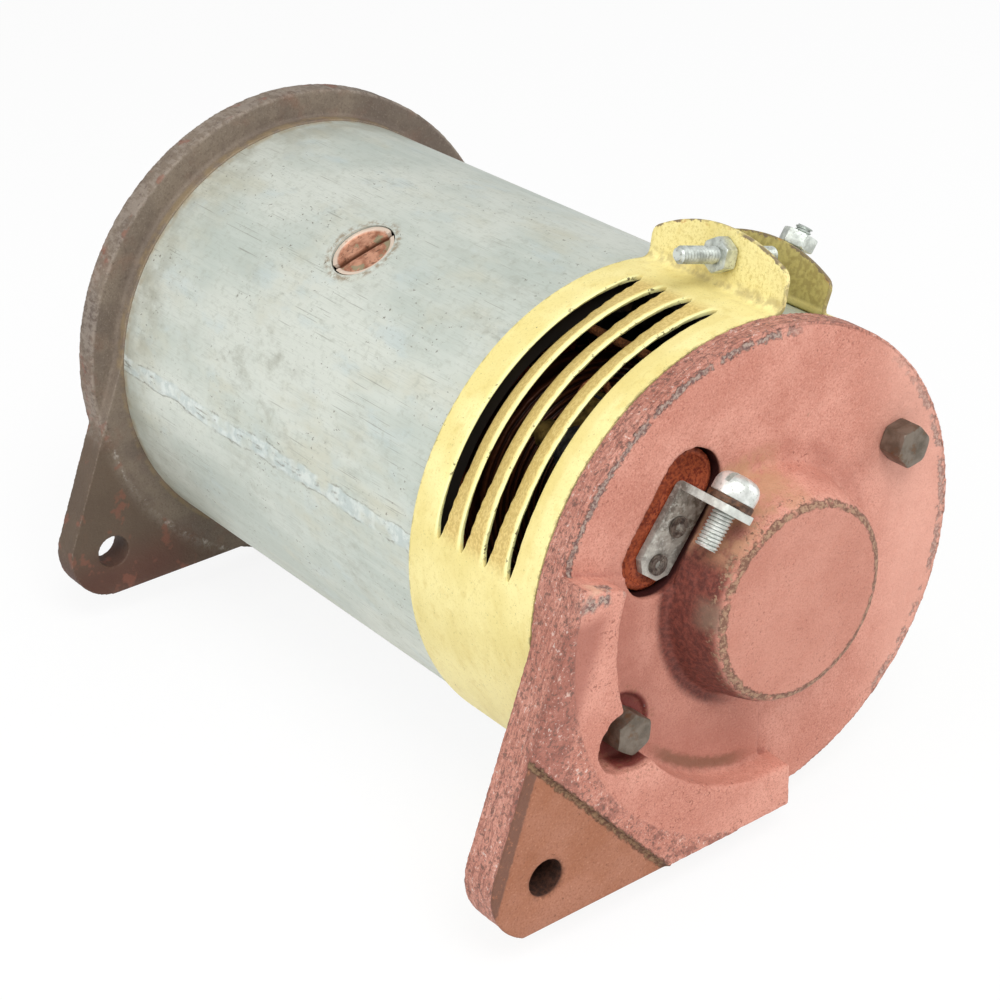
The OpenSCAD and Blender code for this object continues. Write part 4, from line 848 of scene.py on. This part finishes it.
makeCasting("commutatorBell", finishes["red_primer"], "red_primer",
            lambda s: (s.y < -0.5 and 41 < s.r < 50 and 150 < s.a < 275 and fromPocket(s) > 8.5)
            or (-3.5 < s.y < 0.6 and 25 < s.r < 31 and not 100 < s.a < 190)
            or (s.y < -0.2 and s.x > -12 and s.z < -46),
            lambda s: not inCorner(s) and fromLug(s) > 5.2 and s.y < 5.2)
makeCasting("driveBell", finishes["grey_iron"], "grey_iron", lambda s: False,
            lambda s: s.r > 30 and fromLug(s) > 5.2 and s.y > 173.6)


# cover band: a strip with pressed louvres, its ends bent up as ears

def makeCoverBand(band):
    piece = rod("coverBand", band["radius"], band["start"], band["end"], 240, "NOTHING")
    lean = math.degrees((band["bend"] + band["sheet"] - 0.15) / band["radius"])
    first, second = band["firstEar"] + lean, band["secondEar"] - lean
    for angle in (first, second, band["slotFrom"], band["slotTo"]):
        a = math.radians(angle)
        cut(piece, (0, 0, 0), (-math.sin(a), 0, math.cos(a)))
    half = band["slotHalf"]
    slope = band["slope"]        # how much of the depth each line in front of a slot is pressed
    lip = {0: -band["lipDrop"], 0.75: band["lipRise"]}
    lines = {43.5, 46.0}         # where the strip is cut across, to press and bend it
    for row in band["rows"]:
        lines |= {row - half + step for step in slope} | {row + half + step for step in lip}
    for step in (0.4, 0.95, 1.6):
        lines |= {band["start"] + step, band["end"] - step}
    for line in sorted(lines):
        cut(piece, (0, (line - face) * mm, 0), (0, 1, 0))
    pick(piece, "VERT", lambda s: True)
    bpy.ops.mesh.remove_doubles(threshold=0.1 * mm)          # no slivers beside the cuts

    def within(s, edge):
        return any(band["slotFrom"] + edge < s.a - turn < band["slotTo"] - edge for turn in (0, 180))

    def onLine(s, line):
        return abs(s.y - line) < 0.05

    pick(piece, "FACE", lambda s: second < s.a < first)
    bpy.ops.mesh.delete(type="FACE")
    pick(piece, "FACE", lambda s: within(s, 0) and any(abs(s.y - row) < half for row in band["rows"]))
    bpy.ops.mesh.delete(type="FACE")
    # each slat is pressed in towards the slot behind it, and its front edge turned a little up
    for stage in range(band["stages"]):
        edge = stage * band["stage"] + 0.2
        for row, depth in zip(band["rows"], band["pressed"]):
            for step, share in slope.items():
                pick(piece, "VERT", lambda s: within(s, edge) and onLine(s, row - half + step))
                widen(1 - depth * share / band["stages"] / band["radius"])
        for step, rise in lip.items():
            pick(piece, "VERT", lambda s: within(s, edge)
                 and any(onLine(s, row + half + step) for row in band["rows"]))
            widen(1 + rise / band["stages"] / band["radius"])
    # the slots narrow to rounded ends
    for reach, share in band["narrow"]:
        for side in (-1, 1):
            pick(piece, "VERT", lambda s: within(s, -0.1) and not within(s, reach)
                 and any(0.1 < side * (s.y - row) < half + 0.05 for row in band["rows"]))
            bpy.ops.transform.translate(value=(0, -side * half * share * mm, 0))

    def earHeight(y):        # the top is an arc, lower towards the rear, its corners rounded
        corner = band["earCorner"]
        short = max(corner - min(y - band["start"], band["end"] - y), 0)
        arc = math.sqrt(band["earRound"] ** 2 - (y - band["earMiddle"]) ** 2) - band["earRound"]
        return arc + band["earTop"] - corner + math.sqrt(max(corner ** 2 - short ** 2, 0))

    ears = ((1, band["firstEar"], first, 0), (-1, band["secondEar"], second, band["earDrop"]))
    for side, angle, edge, drop in ears:
        a = math.radians(angle)
        up = Vector((math.cos(a), 0, math.sin(a)))
        along = Vector((-math.sin(a), 0, math.cos(a))) * side
        pick(piece, "EDGE", lambda s: abs(s.a - edge) < 0.08 and len(s.item.link_faces) == 1
             and reachOf(s).y > 0.1)
        bend = band["bend"]
        last = (bend, 0.0)
        for step in range(1, 5):
            turn = math.radians(22.5 * step)
            now = (bend - bend * math.sin(turn), bend - bend * math.cos(turn))
            move = (along * (now[0] - last[0]) + up * (now[1] - last[1])) * mm
            if step == 1:
                move += up * band["radius"] * (1 - math.cos(math.radians(lean))) * mm
            bpy.ops.mesh.extrude_edges_move(TRANSFORM_OT_translate={"value": move})
            last = now
        for step in range(band["earSteps"]):
            bpy.ops.mesh.extrude_edges_move(TRANSFORM_OT_translate={"value": (0, 0, 0)})
            mesh = bmesh.from_edit_mesh(piece.data)
            for corner in mesh.verts:
                if corner.select:
                    height = earHeight(corner.co.y / mm + face) - drop - bend
                    corner.co += up * (height / band["earSteps"] * mm)
            bmesh.update_edit_mesh(piece.data)
    bpy.ops.mesh.select_all(action="SELECT")
    bpy.ops.mesh.normals_make_consistent(inside=False)
    bpy.ops.object.mode_set(mode="OBJECT")
    modify(piece, "SOLIDIFY", thickness=band["sheet"] * mm, offset=-1, use_even_offset=True)
    modify(piece, "BEVEL", width=0.16 * mm, segments=2, limit_method="ANGLE", angle_limit=math.radians(45))
    done(piece, finishes["yellow_band"], "yellow_band", "cover_band", smooth=40)


makeCoverBand(coverBand)


# screws, nuts and bolts

def makeThread(name, radius, pitch, z1, z2, sides=32):       # a closed threaded bar, upright
    depth = 0.6 * pitch
    clearSelection()
    bpy.ops.mesh.primitive_plane_add(
        size=pitch * mm, location=(radius * mm, 0, 0), rotation=(0, math.radians(90), 0))
    piece = bpy.context.object
    piece.name = name
    settle(piece)
    pick(piece, "VERT", lambda s: s.item.co.y > 0)
    bpy.ops.mesh.delete(type="VERT")
    bpy.ops.mesh.select_all(action="SELECT")
    bpy.ops.mesh.subdivide(number_cuts=3)
    mesh = bmesh.from_edit_mesh(piece.data)
    for corner in mesh.verts:
        corner.co.y = 0
        share = abs(corner.co.z) / (pitch * mm / 2)
        corner.co.x = (radius - (depth * share if share > 0.2 else 0)) * mm
        corner.co.z += (z1 - pitch) * mm
    bmesh.update_edit_mesh(piece.data)
    bpy.ops.object.mode_set(mode="OBJECT")
    turns = int((z2 - z1) / pitch) + 4
    modify(piece, "SCREW", axis="Z", angle=math.radians(360), screw_offset=pitch * mm, iterations=turns,
           steps=sides, render_steps=sides, use_merge_vertices=False)
    onlyThis(piece)
    bpy.ops.object.mode_set(mode="EDIT")
    bpy.ops.mesh.select_all(action="SELECT")
    bpy.ops.mesh.remove_doubles(threshold=0.00001)
    cut(piece, (0, 0, z1 * mm), (0, 0, 1), use_fill=True, clear_inner=True)
    cut(piece, (0, 0, z2 * mm), (0, 0, 1), use_fill=True, clear_outer=True)
    outward(piece)
    return piece


def makeNut(name, flats, height, hole, chamfer=0.45):
    piece = post(name, flats / math.sqrt(3), 0, height, 6)
    dome = post("nutDome", flats / math.sqrt(3) + 0.02, 0, height, 72)
    pick(dome, "EDGE", lambda s: reachOf(s).z < 0.01)
    bpy.ops.mesh.bevel(offset=chamfer * mm, segments=3)
    bpy.ops.object.mode_set(mode="OBJECT")
    combine(piece, dome, "INTERSECT")
    if hole:
        bore = post("nutBore", hole, -1, height + 1, 48)
        combine(piece, bore, "DIFFERENCE")
    modify(piece, "BEVEL", width=0.12 * mm, segments=2, limit_method="ANGLE", angle_limit=math.radians(25))
    return piece


clamp = {"y": 24.6, "up": 64.2, "ear": 78.3, "direction": 164.6, "stub": 15.0, "reach": 18.3, "radius": 1.95,
         "pitch": 0.85, "bend": 68, "tail": 6.8, "flats": 7.0, "nut": 3.2, "firstNut": 1.3, "secondNut": 2.0,
         "tipLength": 0.35, "tip": 0.8, "knee": 0.985, "nutTurn": 30, "nutGrip": 0.1}


def makeClamp(clamp):
    x = clamp["up"] * math.cos(math.radians(clamp["ear"]))
    z = clamp["up"] * math.sin(math.radians(clamp["ear"]))
    d = math.radians(clamp["direction"])
    main = standing(x, clamp["y"], z, clamp["direction"])
    bar = makeThread("clampScrew", clamp["radius"], clamp["pitch"], -clamp["reach"], clamp["stub"])
    pick(bar, "VERT", lambda s: s.item.co.z > (clamp["stub"] - clamp["tipLength"]) * mm)
    bpy.ops.transform.resize(value=(clamp["tip"], clamp["tip"], 1), center_override=(0, 0, 0))
    bpy.ops.object.mode_set(mode="OBJECT")
    bar.matrix_world = main
    settle(bar)
    bendX, bendZ = x - clamp["reach"] * math.cos(d), z - clamp["reach"] * math.sin(d)
    tailAngle = clamp["direction"] + clamp["bend"] - 180
    tail = makeThread("clampTail", clamp["radius"], clamp["pitch"], 0, clamp["tail"])
    bent = standing(bendX, clamp["y"], bendZ, tailAngle)
    tail.matrix_world = bent
    settle(tail)
    clearSelection()
    bpy.ops.mesh.primitive_uv_sphere_add(
        segments=32, ring_count=16, radius=clamp["radius"] * clamp["knee"] * mm,
        location=(bendX * mm, (clamp["y"] - face) * mm, bendZ * mm))
    knee = bpy.context.object
    settle(knee)
    combine(bar, knee, "UNION")
    combine(bar, tail, "UNION")
    done(bar, finishes["zinc"], "zinc", "clamp_screw", smooth=30)
    nut = makeNut("clampNut", clamp["flats"], clamp["nut"], clamp["radius"] - clamp["nutGrip"])
    turned = Matrix.Rotation(math.radians(clamp["nutTurn"]), 4, "Z")
    pair = [copyTo(nut, "clampNutFront", main @ Matrix.Translation((0, 0, clamp["firstNut"] * mm)) @ turned),
            copyTo(nut, "clampNutBack", bent @ Matrix.Translation((0, 0, clamp["secondNut"] * mm)) @ turned)]
    bpy.data.objects.remove(nut, do_unlink=True)
    done(joinAll("clampNuts", pair), finishes["zinc"], "zinc", "clamp_nuts", smooth=30)


makeClamp(clamp)

bolts = {"circle": 44.4, "angle": 27.0, "flats": 8.4, "head": 6.0, "chamfer": 0.6, "shank": 2.5,
         "end": 183.0, "thread": 12.0, "pitch": 0.8, "turns": (39.0, 233.0)}


def makeBolts(bolts):
    pieces = []
    for half, turn in zip((0, 180), bolts["turns"]):
        a = math.radians(bolts["angle"] + half)
        head = makeNut("boltHead", bolts["flats"], bolts["head"], None, bolts["chamfer"])
        start = bolts["end"] - bolts["thread"]
        shank = makeThread("boltEnd", bolts["shank"], bolts["pitch"], start, bolts["end"], 24)
        plain = post("boltShank", bolts["shank"], -0.5, start + 0.1, 32)
        flip = Matrix.Rotation(math.radians(-90), 4, "X")        # upright becomes towards the drive end
        x, z = bolts["circle"] * math.cos(a), bolts["circle"] * math.sin(a)
        seat = Matrix.Translation((x * mm, -face * mm, z * mm))
        turned = Matrix.Rotation(math.radians(turn), 4, "Z")
        head.matrix_world = seat @ Matrix.Rotation(math.radians(90), 4, "X") @ turned
        settle(head)
        for part in (shank, plain):
            part.matrix_world = seat @ flip
            settle(part)
        pieces += [head, shank, plain]
    piece = joinAll("throughBolts", pieces)
    done(piece, finishes["dark_steel"], "dark_steel", "through_bolts", smooth=30)


makeBolts(bolts)

terminal = {
    "angle": 51.2, "side": 30.1, "low": -10.2, "high": 10.6, "width": 9.4, "sheet": 1.8, "deck": 2.4,
    "tab": 13.0, "footCorner": 2.3, "bendRound": 1.6, "tabCorner": 1.2,
    "screwOff": 0.6, "screwOut": 8.2, "washer": 1.5, "washerRadius": 5.1, "headRadius": 4.9,
    "headHeight": 5.0, "skirt": 0.45, "dome": ((0.2, 0.95), (0.16, 0.88), (0.12, 0.78), (0.07, 0.5)),
    "slot": 1.2, "slotDepth": 2.4, "slotTurn": 8, "tail": 8.1, "pitch": 0.8, "radius": 2.5,
}


def makeStrip():         # dull and stained on its flat, brighter on the tab
    f = Finish("terminalZinc", rough=0.45, metal=0.25)
    x, y, z, r = f.axes()
    tab = f.between(y, -0.5, -3.0)
    stained = f.mixed(f.noise(2.4, 4, 0.6), 0.36, 0.64, (104, 94, 84), (170, 163, 152))
    stained = f.over(stained, f.between(f.noise(1.1, 3, 0.6, shift=3), 0.5, 0.66), 0.6, (208, 206, 196))
    bright = f.mixed(f.noise(1.6, 4, 0.6, shift=6), 0.36, 0.64, (158, 162, 156), (206, 212, 206))
    f.tone = f.blend(tab, stained, bright)
    f.stain(f.edges(0.52, 0.58), 0.7, (214, 216, 208))
    f.relieve(f.noise(0.8, 3, 0.6), 0.06)
    return f.painted()


def makeTerminal(t):
    a = math.radians(t["angle"])
    # frame: x along the strip, y along the shaft, z to its side
    strip = Matrix(((math.cos(a), 0, -math.sin(a)), (0, 1, 0), (math.sin(a), 0, math.cos(a)))).to_4x4()
    strip = strip @ Matrix.Translation((0, -face * mm, t["side"] * mm))
    w = t["width"] / 2
    piece = brick("terminalBracket", t["low"], t["high"], t["deck"] - t["sheet"], t["deck"], -w, w)
    cut(piece, ((t["high"] - t["sheet"]) * mm, 0, 0), (1, 0, 0))
    pick(piece, "FACE", lambda s: s.item.normal.y < -0.9 and s.x > t["high"] - t["sheet"])
    rise = -(t["tab"] + t["deck"] - t["sheet"]) * mm
    bpy.ops.mesh.extrude_region_move(TRANSFORM_OT_translate={"value": (0, rise, 0)})
    pick(piece, "EDGE", lambda s: s.x < t["low"] + 0.01 and reachOf(s).y > 0.5)
    bpy.ops.mesh.bevel(offset=t["footCorner"] * mm, segments=1)
    pick(piece, "EDGE", lambda s: s.x > t["high"] - 0.01 and abs(s.z) < 0.5
         and all(corner.co.y > 2 * mm for corner in s.item.verts))
    bpy.ops.mesh.bevel(offset=t["bendRound"] * mm, segments=5)
    pick(piece, "EDGE", lambda s: s.y - face < -t["tab"] + 0.1 and reachOf(s).x > 0.5)
    bpy.ops.mesh.bevel(offset=t["tabCorner"] * mm, segments=3)
    bpy.ops.object.mode_set(mode="OBJECT")
    modify(piece, "BEVEL", width=0.18 * mm, segments=2, limit_method="ANGLE", angle_limit=math.radians(40))
    piece.matrix_world = strip
    settle(piece)
    done(piece, makeStrip(), "zinc", "terminal_bracket", smooth=35)
    # screw, in an upright frame on the tab
    x = t["high"] * math.cos(a) - (t["side"] - t["screwOff"]) * math.sin(a)
    z = t["high"] * math.sin(a) + (t["side"] - t["screwOff"]) * math.cos(a)
    upright = standing(x, -t["screwOut"], z, t["angle"])
    base = t["washer"]
    head = post("terminalScrew", t["headRadius"], base, base + t["headHeight"], 64)
    pick(head, "FACE", lambda s: s.item.normal.z > 0.9)          # lowered to a skirt, then domed
    bpy.ops.transform.translate(value=(0, 0, -t["headHeight"] * (1 - t["skirt"]) * mm))
    for rise, size in t["dome"]:
        bpy.ops.mesh.extrude_region_move(
            TRANSFORM_OT_translate={"value": (0, 0, t["headHeight"] * rise * mm)})
        bpy.ops.transform.resize(value=(size, size, 1))
    bpy.ops.object.mode_set(mode="OBJECT")
    modify(head, "BEVEL", width=0.25 * mm, segments=3, limit_method="ANGLE", angle_limit=math.radians(14))
    top = base + t["headHeight"]
    groove = brick("slot", -10, 10, -t["slot"] / 2, t["slot"] / 2, top - t["slotDepth"], top + 2)
    groove.matrix_world = Matrix.Rotation(math.radians(t["slotTurn"]), 4, "Z")
    settle(groove)
    combine(head, groove, "DIFFERENCE")
    stem = makeThread("terminalStem", t["radius"], t["pitch"], -t["sheet"] - t["tail"], base + 1)
    combine(head, stem, "UNION")
    head.matrix_world = upright
    settle(head)
    plated = makeZinc("screwZinc", (236, 238, 234), (206, 210, 204), 0.34)
    done(head, plated, "zinc", "terminal_screw", smooth=30)
    washer = post("terminalWasher", t["washerRadius"], 0, t["washer"], 64)
    hole = post("washerHole", t["radius"] + 0.02, -1, t["washer"] + 1, 48)
    combine(washer, hole, "DIFFERENCE")
    modify(washer, "BEVEL", width=0.25 * mm, segments=3, limit_method="ANGLE", angle_limit=math.radians(40))
    washer.matrix_world = upright
    settle(washer)
    done(washer, finishes["brown_washer"], "brown_washer", "terminal_washer", smooth=30)


makeTerminal(terminal)


pressed = {      # rings worked into the front faces: width and depth in mm
    "terminalRivets": {"node": "terminal_rivets", "front": 0.2, "finish": "terminal_stain", "slot": "zinc",
                       "rings": ((0.55, -0.12), (0.75, 0.1), (0.25, -0.9))},
    "terminalFibre": {"node": "terminal_insulator", "front": 3.5, "finish": "red_fibre", "slot": "red_fibre",
                      "rings": ((0.35, 0), (0.25, 0.18), (0.75, 0), (0.3, -0.6))},
}


def makePressed(name, size):         # hollow rivets, and fibre with a raised rim round a sunk middle
    piece = copyOf(name, size["node"])
    pick(piece, "FACE", lambda s: s.item.normal.y < -0.9 and s.y < size["front"])
    for width, depth in size["rings"]:
        bpy.ops.mesh.inset(thickness=width * mm, depth=depth * mm)
    bpy.ops.object.mode_set(mode="OBJECT")
    done(piece, finishes[size["finish"]], size["slot"], size["node"], smooth=30)


for name, size in pressed.items():
    makePressed(name, size)

poleScrews = {
    "y": marks["poleAt"], "angle": marks["poleAngle"], "top": 55.4, "under": 52.6, "foot": 37.5, "head": 7.8,
    "neck": 7.05, "shank": 4.0, "dish": ((0.9, 0), (0.5, -0.5), (2.6, 0.3)), "slot": 2.0, "slotFloor": 53.8,
    "slotTurn": 160.0,
}


def makePoleScrews(size):        # the head's rim is burred up round its dished middle
    pieces = []
    for half in (0, 180):
        piece = post("poleScrews", size["neck"], size["under"], size["top"], 72)
        pick(piece, "FACE", lambda s: s.item.normal.z > 0.9)
        flare = size["head"] / size["neck"]
        bpy.ops.transform.resize(value=(flare, flare, 1), center_override=(0, 0, 0))
        for width, depth in size["dish"]:
            bpy.ops.mesh.inset(thickness=width * mm, depth=depth * mm)
        pick(piece, "FACE", lambda s: s.item.normal.z < -0.9)
        bpy.ops.mesh.inset(thickness=(size["neck"] - size["shank"]) * mm, depth=0)
        down = (size["foot"] - size["under"]) * mm
        bpy.ops.mesh.extrude_region_move(TRANSFORM_OT_translate={"value": (0, 0, down)})
        bpy.ops.object.mode_set(mode="OBJECT")
        groove = brick("slot", -10, 10, -size["slot"] / 2, size["slot"] / 2, size["slotFloor"],
                       size["top"] + 1)
        groove.matrix_world = Matrix.Rotation(math.radians(size["slotTurn"]), 4, "Z")
        settle(groove)
        combine(piece, groove, "DIFFERENCE")
        modify(piece, "BEVEL", width=0.22 * mm, segments=2, limit_method="ANGLE",
               angle_limit=math.radians(35))
        piece.matrix_world = standing(0, size["y"], 0, size["angle"] + half)
        settle(piece)
        pieces.append(piece)
    done(joinAll("poleScrews", pieces), finishes["rusty_steel"], "rusty_steel", "pole_screws", smooth=35)


makePoleScrews(poleScrews)

weld = {"radius": marks["yokeRadius"], "from": 169.4, "to": 175.2, "start": 49.0, "end": 173.3,
        "sunk": 0.16, "cuts": 220, "crown": (2.1, 1.6, 1.1), "rise": 0.09, "grain": 3.6, "height": 0.42,
        "thick": 0.5}


def makeWeld(size):      # lumpy bead along the yoke's closing seam, its sides sunk below the surface
    piece = rod("weldBead", size["radius"] - size["sunk"], size["start"], size["end"], 720, "NOTHING")
    middle = (size["from"] + size["to"]) / 2
    pick(piece, "FACE", lambda s: not size["from"] < s.a < size["to"])
    bpy.ops.mesh.delete(type="FACE")
    pick(piece, "EDGE", lambda s: reachOf(s).y > 10)
    bpy.ops.mesh.subdivide(number_cuts=size["cuts"])
    for reach in size["crown"]:
        pick(piece, "VERT", lambda s: abs(s.a - middle) < reach)
        widen(1 + size["rise"] / size["radius"])
    bpy.ops.mesh.select_all(action="SELECT")
    bpy.ops.mesh.normals_make_consistent(inside=False)
    mesh = bmesh.from_edit_mesh(piece.data)
    if sum(side.normal.x * side.calc_center_median().x for side in mesh.faces) < 0:
        bpy.ops.mesh.flip_normals()
    bpy.ops.object.mode_set(mode="OBJECT")
    lumps = bpy.data.textures.new("weldLumps", "CLOUDS")
    lumps.noise_scale, lumps.noise_depth = size["grain"] * mm, 2
    modify(piece, "DISPLACE", texture=lumps, texture_coords="LOCAL", strength=size["height"] * mm,
           mid_level=0.5)
    modify(piece, "SOLIDIFY", thickness=size["thick"] * mm, offset=-1)
    done(piece, finishes["yoke_steel"], "yoke_steel", smooth=50)


makeWeld(weld)

shaft = {       # station and radius of each corner, from the circlip's end
    "steps": ((-9.05, 7.48), (-8.8, 7.48), (-8.8, 6.9), (-7.6, 6.9), (-7.6, 7.48), (3.5, 7.48), (3.5, 8.98),
              (58.0, 8.98), (58.0, 9.98), (168.0, 9.98), (168.0, 8.49), (187.0, 8.49), (187.0, 8.0),
              (189.0, 8.0), (189.0, 8.49), (209.0, 8.49)),
    "thread": 6.98, "pitch": 1.5, "end": 221.9, "keyAt": 199.0, "keyRadius": 8.0, "keyWidth": 4.0,
    "keyUp": 11.5, "overlap": 0.6, "tipLength": 0.5, "tip": 0.88,
}


def makeShaft(size):     # turned in steps, with a keyseat and a thread
    steps = size["steps"]
    piece = rod("armatureShaft", steps[0][1], steps[0][0], steps[1][0], 96)
    pick(piece, "FACE", lambda s: s.item.normal.y > 0.9)
    last = steps[1]
    for y, radius in steps[2:]:
        bpy.ops.mesh.extrude_region_move(TRANSFORM_OT_translate={"value": (0, (y - last[0]) * mm, 0)})
        widen(radius / last[1])
        last = (y, radius)
    bpy.ops.object.mode_set(mode="OBJECT")
    seat = post("keySeat", size["keyRadius"], -size["keyWidth"] / 2, size["keyWidth"] / 2, 96)
    keyPlace = Matrix.Translation((0, (size["keyAt"] - face) * mm, size["keyUp"] * mm))
    seat.matrix_world = keyPlace @ Matrix.Rotation(math.radians(90), 4, "Y")
    settle(seat)
    combine(piece, seat, "DIFFERENCE")
    modify(piece, "BEVEL", width=0.2 * mm, segments=2, limit_method="ANGLE", angle_limit=math.radians(35))
    start = steps[-1][0] - size["overlap"]
    thread = makeThread("shaftThread", size["thread"], size["pitch"], start, size["end"], 48)
    pick(thread, "VERT", lambda s: s.item.co.z > (size["end"] - size["tipLength"]) * mm)
    bpy.ops.transform.resize(value=(size["tip"], size["tip"], 1), center_override=(0, 0, 0))
    bpy.ops.object.mode_set(mode="OBJECT")
    thread.matrix_world = Matrix.Translation((0, -face * mm, 0)) @ Matrix.Rotation(math.radians(-90), 4, "X")
    settle(thread)
    combine(piece, thread, "UNION")
    done(piece, finishes["bright_steel"], "bright_steel", "shaft", body="armature", smooth=30)


makeShaft(shaft)

woundWork = {"limit": 180000, "level": 0.75, "quickVoxel": 1.6}        # limit in triangles
wound = {        # voxel and relief in mm, rounds of smoothing
    "field_coil_1": {"name": "fieldCoilUpper", "voxel": 0.9, "rounds": 14, "relief": 0.5, "grain": 3.4},
    "field_coil_2": {"name": "fieldCoilLower", "voxel": 0.9, "rounds": 14, "relief": 0.5, "grain": 3.4},
    "armature_winding": {"name": "armatureWinding", "voxel": 0.62, "rounds": 3, "relief": 0.35, "grain": 2.0},
    "coil_link": {"name": "coilLink", "voxel": 0.34, "rounds": 2, "relief": 0.12, "grain": 0.9},
    "field_lead_1": {"name": "fieldLeadUpper", "voxel": 0.3, "rounds": 2, "relief": 0.12, "grain": 0.9},
    "field_lead_2": {"name": "fieldLeadLower", "voxel": 0.3, "rounds": 2, "relief": 0.12, "grain": 0.9},
    "brush_lead_1": {"name": "brushBraidUpper", "voxel": 0.22, "rounds": 1, "relief": 0.16, "grain": 0.5},
    "brush_lead_2": {"name": "brushBraidLower", "voxel": 0.22, "rounds": 1, "relief": 0.16, "grain": 0.5},
    "felt_seal": {"name": "feltSeal", "voxel": 0.45, "rounds": 3, "relief": 0.2, "grain": 0.9},
}


def makeWound(node, size):       # rounded and uneven, as wound, taped or felted work is
    piece = copyOf(size["name"], node)
    voxel = size["voxel"] * 1
    modify(piece, "REMESH", mode="VOXEL", voxel_size=voxel * mm, adaptivity=0)
    modify(piece, "SMOOTH", factor=0.5, iterations=size["rounds"])
    uneven = bpy.data.textures.new(size["name"] + "Uneven", "CLOUDS")
    uneven.noise_scale, uneven.noise_depth = size["grain"] * mm, 2
    modify(piece, "DISPLACE", texture=uneven, texture_coords="LOCAL", strength=size["relief"] * mm,
           mid_level=woundWork["level"])
    thin(piece, woundWork["limit"])
    done(piece, finishes[slotOf[node]], slotOf[node], node, body=bodyOf[node], smooth=180)


for node, size in wound.items():
    makeWound(node, size)

# the other solids keep their shape and get their finish

for name, node in nodes.items():
    if node.hide_render:
        continue
    for place in node.material_slots:
        place.material = finishes[slotOf[name]]
print("solids given their finish:", len(nodes))


# floor, light and camera

def seenBy(tree, *kinds):        # 1 for the rays that should see the white background
    rays = tree.nodes.new("ShaderNodeLightPath")
    total = tree.nodes.new("ShaderNodeMath")
    total.operation = "ADD"
    total.use_clamp = True
    for kind, socket in zip(kinds, total.inputs):
        tree.links.new(rays.outputs[kind], socket)
    return total.outputs[0]


def mixTo(tree, share, first, second, target):
    mixer = tree.nodes.new("ShaderNodeMixShader")
    for source, socket in zip((share, first.outputs[0], second.outputs[0]), mixer.inputs):
        tree.links.new(source, socket)
    tree.links.new(mixer.outputs[0], target.inputs["Surface"])


def backdrop(tree, kind, strength):      # white light of a given strength
    node = tree.nodes.new(kind)
    node.inputs["Color"].default_value = (1, 1, 1, 1)
    node.inputs["Strength"].default_value = strength
    return node


studio = {"floorSize": 6, "floorGap": 0.0003, "floorTone": 0.94, "floorShare": 0.88, "sky": 0.5}

clearSelection()
bpy.ops.mesh.primitive_plane_add(size=studio["floorSize"], location=(0, 0, cadBox[0][2] - studio["floorGap"]))
floor = bpy.context.object
floor.name = "floor"
paper = bpy.data.materials.new("paleFloor")
paper.use_nodes = True
tree = paper.node_tree
matte = tree.nodes["Principled BSDF"]
matte.inputs["Base Color"].default_value = (studio["floorTone"],) * 3 + (1,)
matte.inputs["Roughness"].default_value = 0.9
matte.inputs["Specular IOR Level"].default_value = 0.1
share = tree.nodes.new("ShaderNodeMath")
share.operation = "MULTIPLY"
share.inputs[1].default_value = studio["floorShare"]
tree.links.new(seenBy(tree, "Is Camera Ray", "Is Glossy Ray"), share.inputs[0])
mixTo(tree, share.outputs[0], matte, backdrop(tree, "ShaderNodeEmission", 1),
      tree.nodes["Material Output"])
floor.data.materials.append(paper)

world = bpy.data.worlds.new("studio")
bpy.context.scene.world = world
world.use_nodes = True
tree = world.node_tree
tree.nodes.clear()
mixTo(tree, seenBy(tree, "Is Camera Ray", "Is Transmission Ray"),
      backdrop(tree, "ShaderNodeBackground", studio["sky"]),
      backdrop(tree, "ShaderNodeBackground", 1), tree.nodes.new("ShaderNodeOutputWorld"))

lamps = {
    "keyLamp": {"place": (-0.25, -0.8, 0.95), "size": 0.6, "power": 8.6},
    "fillLamp": {"place": (0.9, -0.7, 0.4), "size": 0.8, "power": 3.2},
    "leftLamp": {"place": (-0.95, -0.1, 0.6), "size": 0.8, "power": 4.4},
}
middle = Vector((0, -0.09, 0))
for name, lamp in lamps.items():
    light = bpy.data.lights.new(name, "AREA")
    light.size = lamp["size"]
    light.energy = lamp["power"]
    holder = bpy.data.objects.new(name, light)
    bpy.context.collection.objects.link(holder)
    holder.location = lamp["place"]
    holder.rotation_euler = (Vector(lamp["place"]) - middle).to_track_quat("Z", "Y").to_euler()

lens = bpy.data.cameras.new("camera")
lens.sensor_width = 36
lens.lens = 86.735       # as solved from the photo
camera = bpy.data.objects.new("camera", lens)
bpy.context.collection.objects.link(camera)
camera.matrix_world = Matrix((
    (0.7957196, 0.3082613, -0.5213495, -0.3061),
    (-0.6046987, 0.3557363, -0.7125947, -0.5153),
    (-0.0342024, 0.8822849, 0.4694716, 0.2573),
    (0, 0, 0, 1)))
bpy.context.scene.camera = camera
bpy.context.scene.view_settings.view_transform = "Standard"
